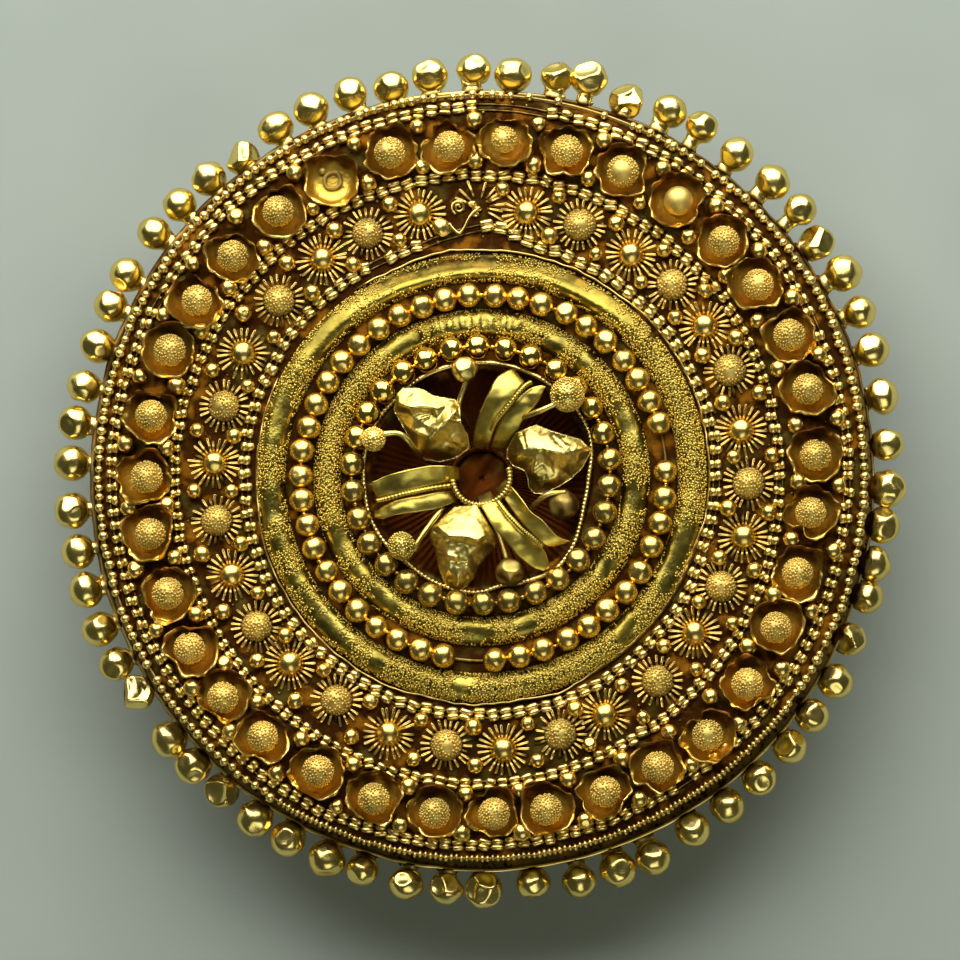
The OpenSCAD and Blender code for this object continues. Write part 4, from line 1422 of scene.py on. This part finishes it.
# How each finish differs from plain worn gold
LOOKS = {
    "sheet_gold": dict(worn=(0.34, 0.27, 0.045), roughness=0.32, clean_from=0.1, clean_to=0.7, olive=0.8,
                       dull=0.85, grit=0.35, grit_depth=0.05, powder="powdered", pit=True),
    "powder_gold": dict(worn=(0.80, 0.63, 0.15), roughness=0.27, clean_from=-0.6, clean_to=0.3, warm=0.15),
    "bead_gold": dict(worn=(1.0, 0.78, 0.27), roughness=0.23, clean_from=-4.2, clean_to=-3.4, olive=0.3,
                      warm=0.2, darkened_inside=FLANGE_R + 0.15),
    # edge_gold: its light worn colour is painted light on the lip where the disc shades it; a stored share by
    # angle paints shade on it
    "edge_gold": dict(worn=(1.0, 0.80, 0.30), roughness=0.3, clean_from=-3.4, clean_to=-2.9, olive=0.3,
                      painted_shade="edge_shade"),
    "granule_gold": dict(roughness=0.27, clean_from=0.1, clean_to=0.7),
    # sphere_gold: its dark olive soil colours are painted shade on the lower part of the ring
    "sphere_gold": dict(soil=(0.045, 0.034, 0.006), rust=(0.1, 0.065, 0.01), roughness=0.16, clean_from=0.1,
                        clean_to=0.7, painted_shade="sphere_shade"),
    "wire_gold": dict(worn=(0.98, 0.74, 0.26), roughness=0.31, clean_from=0.12, clean_to=0.42),
    # cup_gold: a stored share paints shade inside the cups' upper sides, in the soil colour
    "cup_gold": dict(worn=(1.0, 0.66, 0.10), soil=(0.07, 0.018, 0.002), rust=(0.34, 0.12, 0.008),
                     roughness=0.36, clean_from=-0.3, clean_to=0.4, earthy=0.95, lip=1.2, grit=0.35,
                     grit_depth=0.1, painted_shade="cup_shade"),
    "grained_gold": dict(worn=(0.84, 0.63, 0.18), roughness=0.56, clean_from=0.0, clean_to=1.2, dull=0.3),
    "rosette_gold": dict(roughness=0.28, clean_from=0.12, clean_to=0.35),
    "dark_gold": dict(worn=(0.34, 0.16, 0.03), soil=BOWL_BROWN, rust=(0.09, 0.022, 0.003), roughness=0.45,
                      clean_from=0.3, clean_to=1.2),
    "flower_gold": dict(worn=(0.96, 0.76, 0.24), roughness=0.33, clean_from=-2.2, clean_to=-0.6, blotch=2.0,
                        olive=0.9, warm=0.15, dull=0.35, grit=0.45, grit_depth=0.04),
    "leaf_gold": dict(worn=(0.80, 0.61, 0.11), roughness=0.35, clean_from=-1.4, clean_to=0.4, olive=0.9,
                      dull=0.45, grit=0.5, grit_depth=0.03),
    # Painted shade on the two low stalk balls, from a stored share
    "shaded_ball_gold": dict(worn=(0.94, 0.72, 0.2), rust=(0.22, 0.07, 0.006), roughness=0.36, clean_from=-1.4,
                         clean_to=-0.4, dull=0.3, painted_shade="ball_shade"),
    # plain_gold: the back plate's top is painted dark as shade
    "plain_gold": dict(roughness=0.3, clean_from=-13, clean_to=-12.5, blotch=6, olive=0.5,
                       shaded_above=PLATE - 0.04)}
gold = {name: gold_finish(name, **look) for name, look in LOOKS.items()}

# Rings: radius, middle, how many, the first angle, drift, radius of a sphere, the lost ones, seed
OUTER_RING = (14.62, (0.2, -0.1, 0), OUTER_COUNT, OUTER_START, OUTER_DRIFT, 0.98, LOST_OUTER, 97)
INNER_RING = (10.33, (0, 0.06, 0), INNER_COUNT, INNER_START, NO_DRIFT, 1.0, (), 98)
# Granules: the rings they stand on, the places they stand between, their radius, seed, the lost ones
GRANULES_BY_CUPS = ((28.62, 25.4), CUP_PLACES, 0.7, 95)
GRANULES_BY_ROSETTES = ((23.2, 20.1), ROSETTE_PLACES, 0.65, 96, ((20.1, 6), (20.1, 7), (23.2, 7)))
rays, domes = rosettes()
outer_grains = band_grains(OUTER_BAND, OUTER_KNOCKS, OUTER_PLAIN, 11)
inner_grains = band_grains(INNER_BAND, INNER_KNOCKS, INNER_PLAIN, 14)
rosette_granules = granules(*GRANULES_BY_ROSETTES)

# Each piece: its form, its name, its finish, its slot and the solid that it stands for, if any
PIECES = [
    (front_sheet(), "front_sheet", "sheet_gold", "sheet_gold", "front_disc"),
    (collar_edge(), "collar_edge", "wire_gold", "sheet_gold"),
    (outer_grains, "outer_band_grains", "powder_gold", "grained_gold"),
    (inner_grains, "inner_band_grains", "powder_gold", "grained_gold"),
    (stray_grains(), "stray_grains", "wire_gold", "grained_gold"),
    (rim_beads(), "edge_beads", "bead_gold", "bead_gold", "rim_beads"),
    (flange_lip(), "flange_lip", "edge_gold", "plain_gold"),
    (rim_wire(), "edge_wire", "wire_gold", "wire_gold", "rim_wire"),
    *[(double_wire(*chart, 110 + 10 * n), f"{line}_beads", "wire_gold", "wire_gold", line)
      for n, (line, chart) in enumerate(DOUBLE_WIRES.items())],
    (mouth_wire(), "bowl_mouth_wire", "wire_gold", "wire_gold", "mouth_wire"),
    (cup_wall(), "flower_cups", "cup_gold", "cup_gold", "cups"),
    (cup_balls(), "grained_balls", "grained_gold", "grained_gold", "cup_balls"),
    (granules(*GRANULES_BY_CUPS), "granules_by_cups", "granule_gold", "bead_gold", "cup_granules"),
    (rosette_granules, "granules_by_rosettes", "granule_gold", "bead_gold", "rosette_granules"),
    (rays, "sunburst_rosettes", "rosette_gold", "rosette_gold", "rosettes"),
    (domes, "rosette_domes", "grained_gold", "grained_gold"),
    (wrecked_rosette(), "wrecked_rosette", "rosette_gold", "rosette_gold"),
    (strung_spheres(*OUTER_RING), "outer_ring_spheres", "granule_gold", "bead_gold", "outer_spheres"),
    (strung_spheres(*INNER_RING), "inner_ring_spheres", "sphere_gold", "bead_gold", "inner_spheres"),
    (torn_tube(), "torn_flower_tube", "dark_gold", "dark_gold", "flower_tube"),
    (centre_ring(), "centre_beaded_ring", "flower_gold", "wire_gold", "centre_ring"),
    *[(leaf_pair(name), f"{name}_sheet", "leaf_gold", "flower_gold", name) for name in LEAF_PAIRS],
    *[(head(name, 400 + 10 * n), f"{name}_sheet", "flower_gold", "flower_gold", name)
      for n, name in enumerate(HEADS)],
    *[(stalk_ball(name, 500 + 10 * n), f"{name}_wire",
       "shaded_ball_gold" if name in SHADED_BALLS else "flower_gold", "flower_gold", name)
      for n, name in enumerate(STALKS)]]
for form, name, look, slot, *solid in PIECES:
    form.cast(name, gold[look], slot, *solid)


def mark(name, attribute, share):
    """Stores a share from 0 to 1 at each point of a piece, for its finish to use."""
    mesh = bpy.data.objects[name].data
    spots = np.array([v.co for v in mesh.vertices]) / MM
    mesh.attributes.new(attribute, "FLOAT", "POINT").data.foreach_set("value", share(spots))


mark("front_sheet", "powdered", powder_share)
# Stored shares of painted shade on the flange's edge, the cups, the inner spheres and two stalk balls
mark("flange_lip", "edge_shade", edge_shade)
mark("flower_cups", "cup_shade", cup_shade_share)
mark("inner_ring_spheres", "sphere_shade", sphere_shade)
for name in SHADED_BALLS:
    mark(f"{name}_wire", "ball_shade", functools.partial(ball_shade_share, name=name))
for name in ("post", "back_plate"):
    for material_slot in frame["nodes"][name].material_slots:
        material_slot.material = gold["plain_gold"]


# Floor, light and camera

GROUND_SIDE = 1.5
GROUND_SHADES = ((0.308, 0.352, 0.318), (0.362, 0.406, 0.365))


def floor():
    """A plain pale ground under the stud."""
    mesh = bpy.data.meshes.new("ground")
    corners = [(x * GROUND_SIDE, y * GROUND_SIDE, 0) for x, y in ((-1, -1), (1, -1), (1, 1), (-1, 1))]
    mesh.from_pydata(corners, [], [(0, 1, 2, 3)])
    finish = Finish("ground_paint")
    finish.feed("Base Color", finish.blend(finish.noise(14), *GROUND_SHADES))
    finish.shader.inputs["Roughness"].default_value = 0.9
    mesh.materials.append(finish.material)
    ground = put("ground", mesh)


# Soft lights: direction, distance, side and power, and colour
LIGHTS = {"window": ((-0.06, 0.85, 0.52), 0.34, 0.56, 4.1, (1, 0.99, 0.95)),
          "room": ((0.2, -0.8, 0.7), 0.8, 0.5, 1.05, (0.97, 1, 0.85))}
AIR_COLOUR = (0.05, 0.052, 0.03)


def softbox(name, direction, far, size, power, colour):
    """A square soft light that faces the stud."""
    lamp = bpy.data.lights.new(name, "AREA")
    lamp.size = size
    lamp.energy = power
    lamp.color = colour
    light = put(name, lamp)
    outwards = Vector(unit(direction))
    light.location = outwards * far
    light.rotation_euler = outwards.to_track_quat("Z", "Y").to_euler()


def camera():
    """The camera above the face, at the photo's angle and scale."""
    lens = bpy.data.cameras.new("view_from_above")
    lens.sensor_width = SENSOR
    lens.lens = PX_PER_MM * SENSOR * CAMERA_FAR / PHOTO_SIDE
    lens.clip_end = 10
    eye = put("view_from_above", lens)
    axes = np.column_stack([RIGHTWARD, UPWARD, BACKWARD])
    eye.matrix_world = Matrix.Translation(Vector(EYE * MM)) @ Matrix(axes.tolist()).to_4x4()
    bpy.context.scene.camera = eye


floor()
for name, light in LIGHTS.items():
    softbox(name, *light)
camera()
world = bpy.data.worlds.new("room_air")
world.use_nodes = True
world.node_tree.nodes["Background"].inputs["Color"].default_value = (*AIR_COLOUR, 1)
bpy.context.scene.world = world
bpy.context.scene.view_settings.view_transform = "Standard"
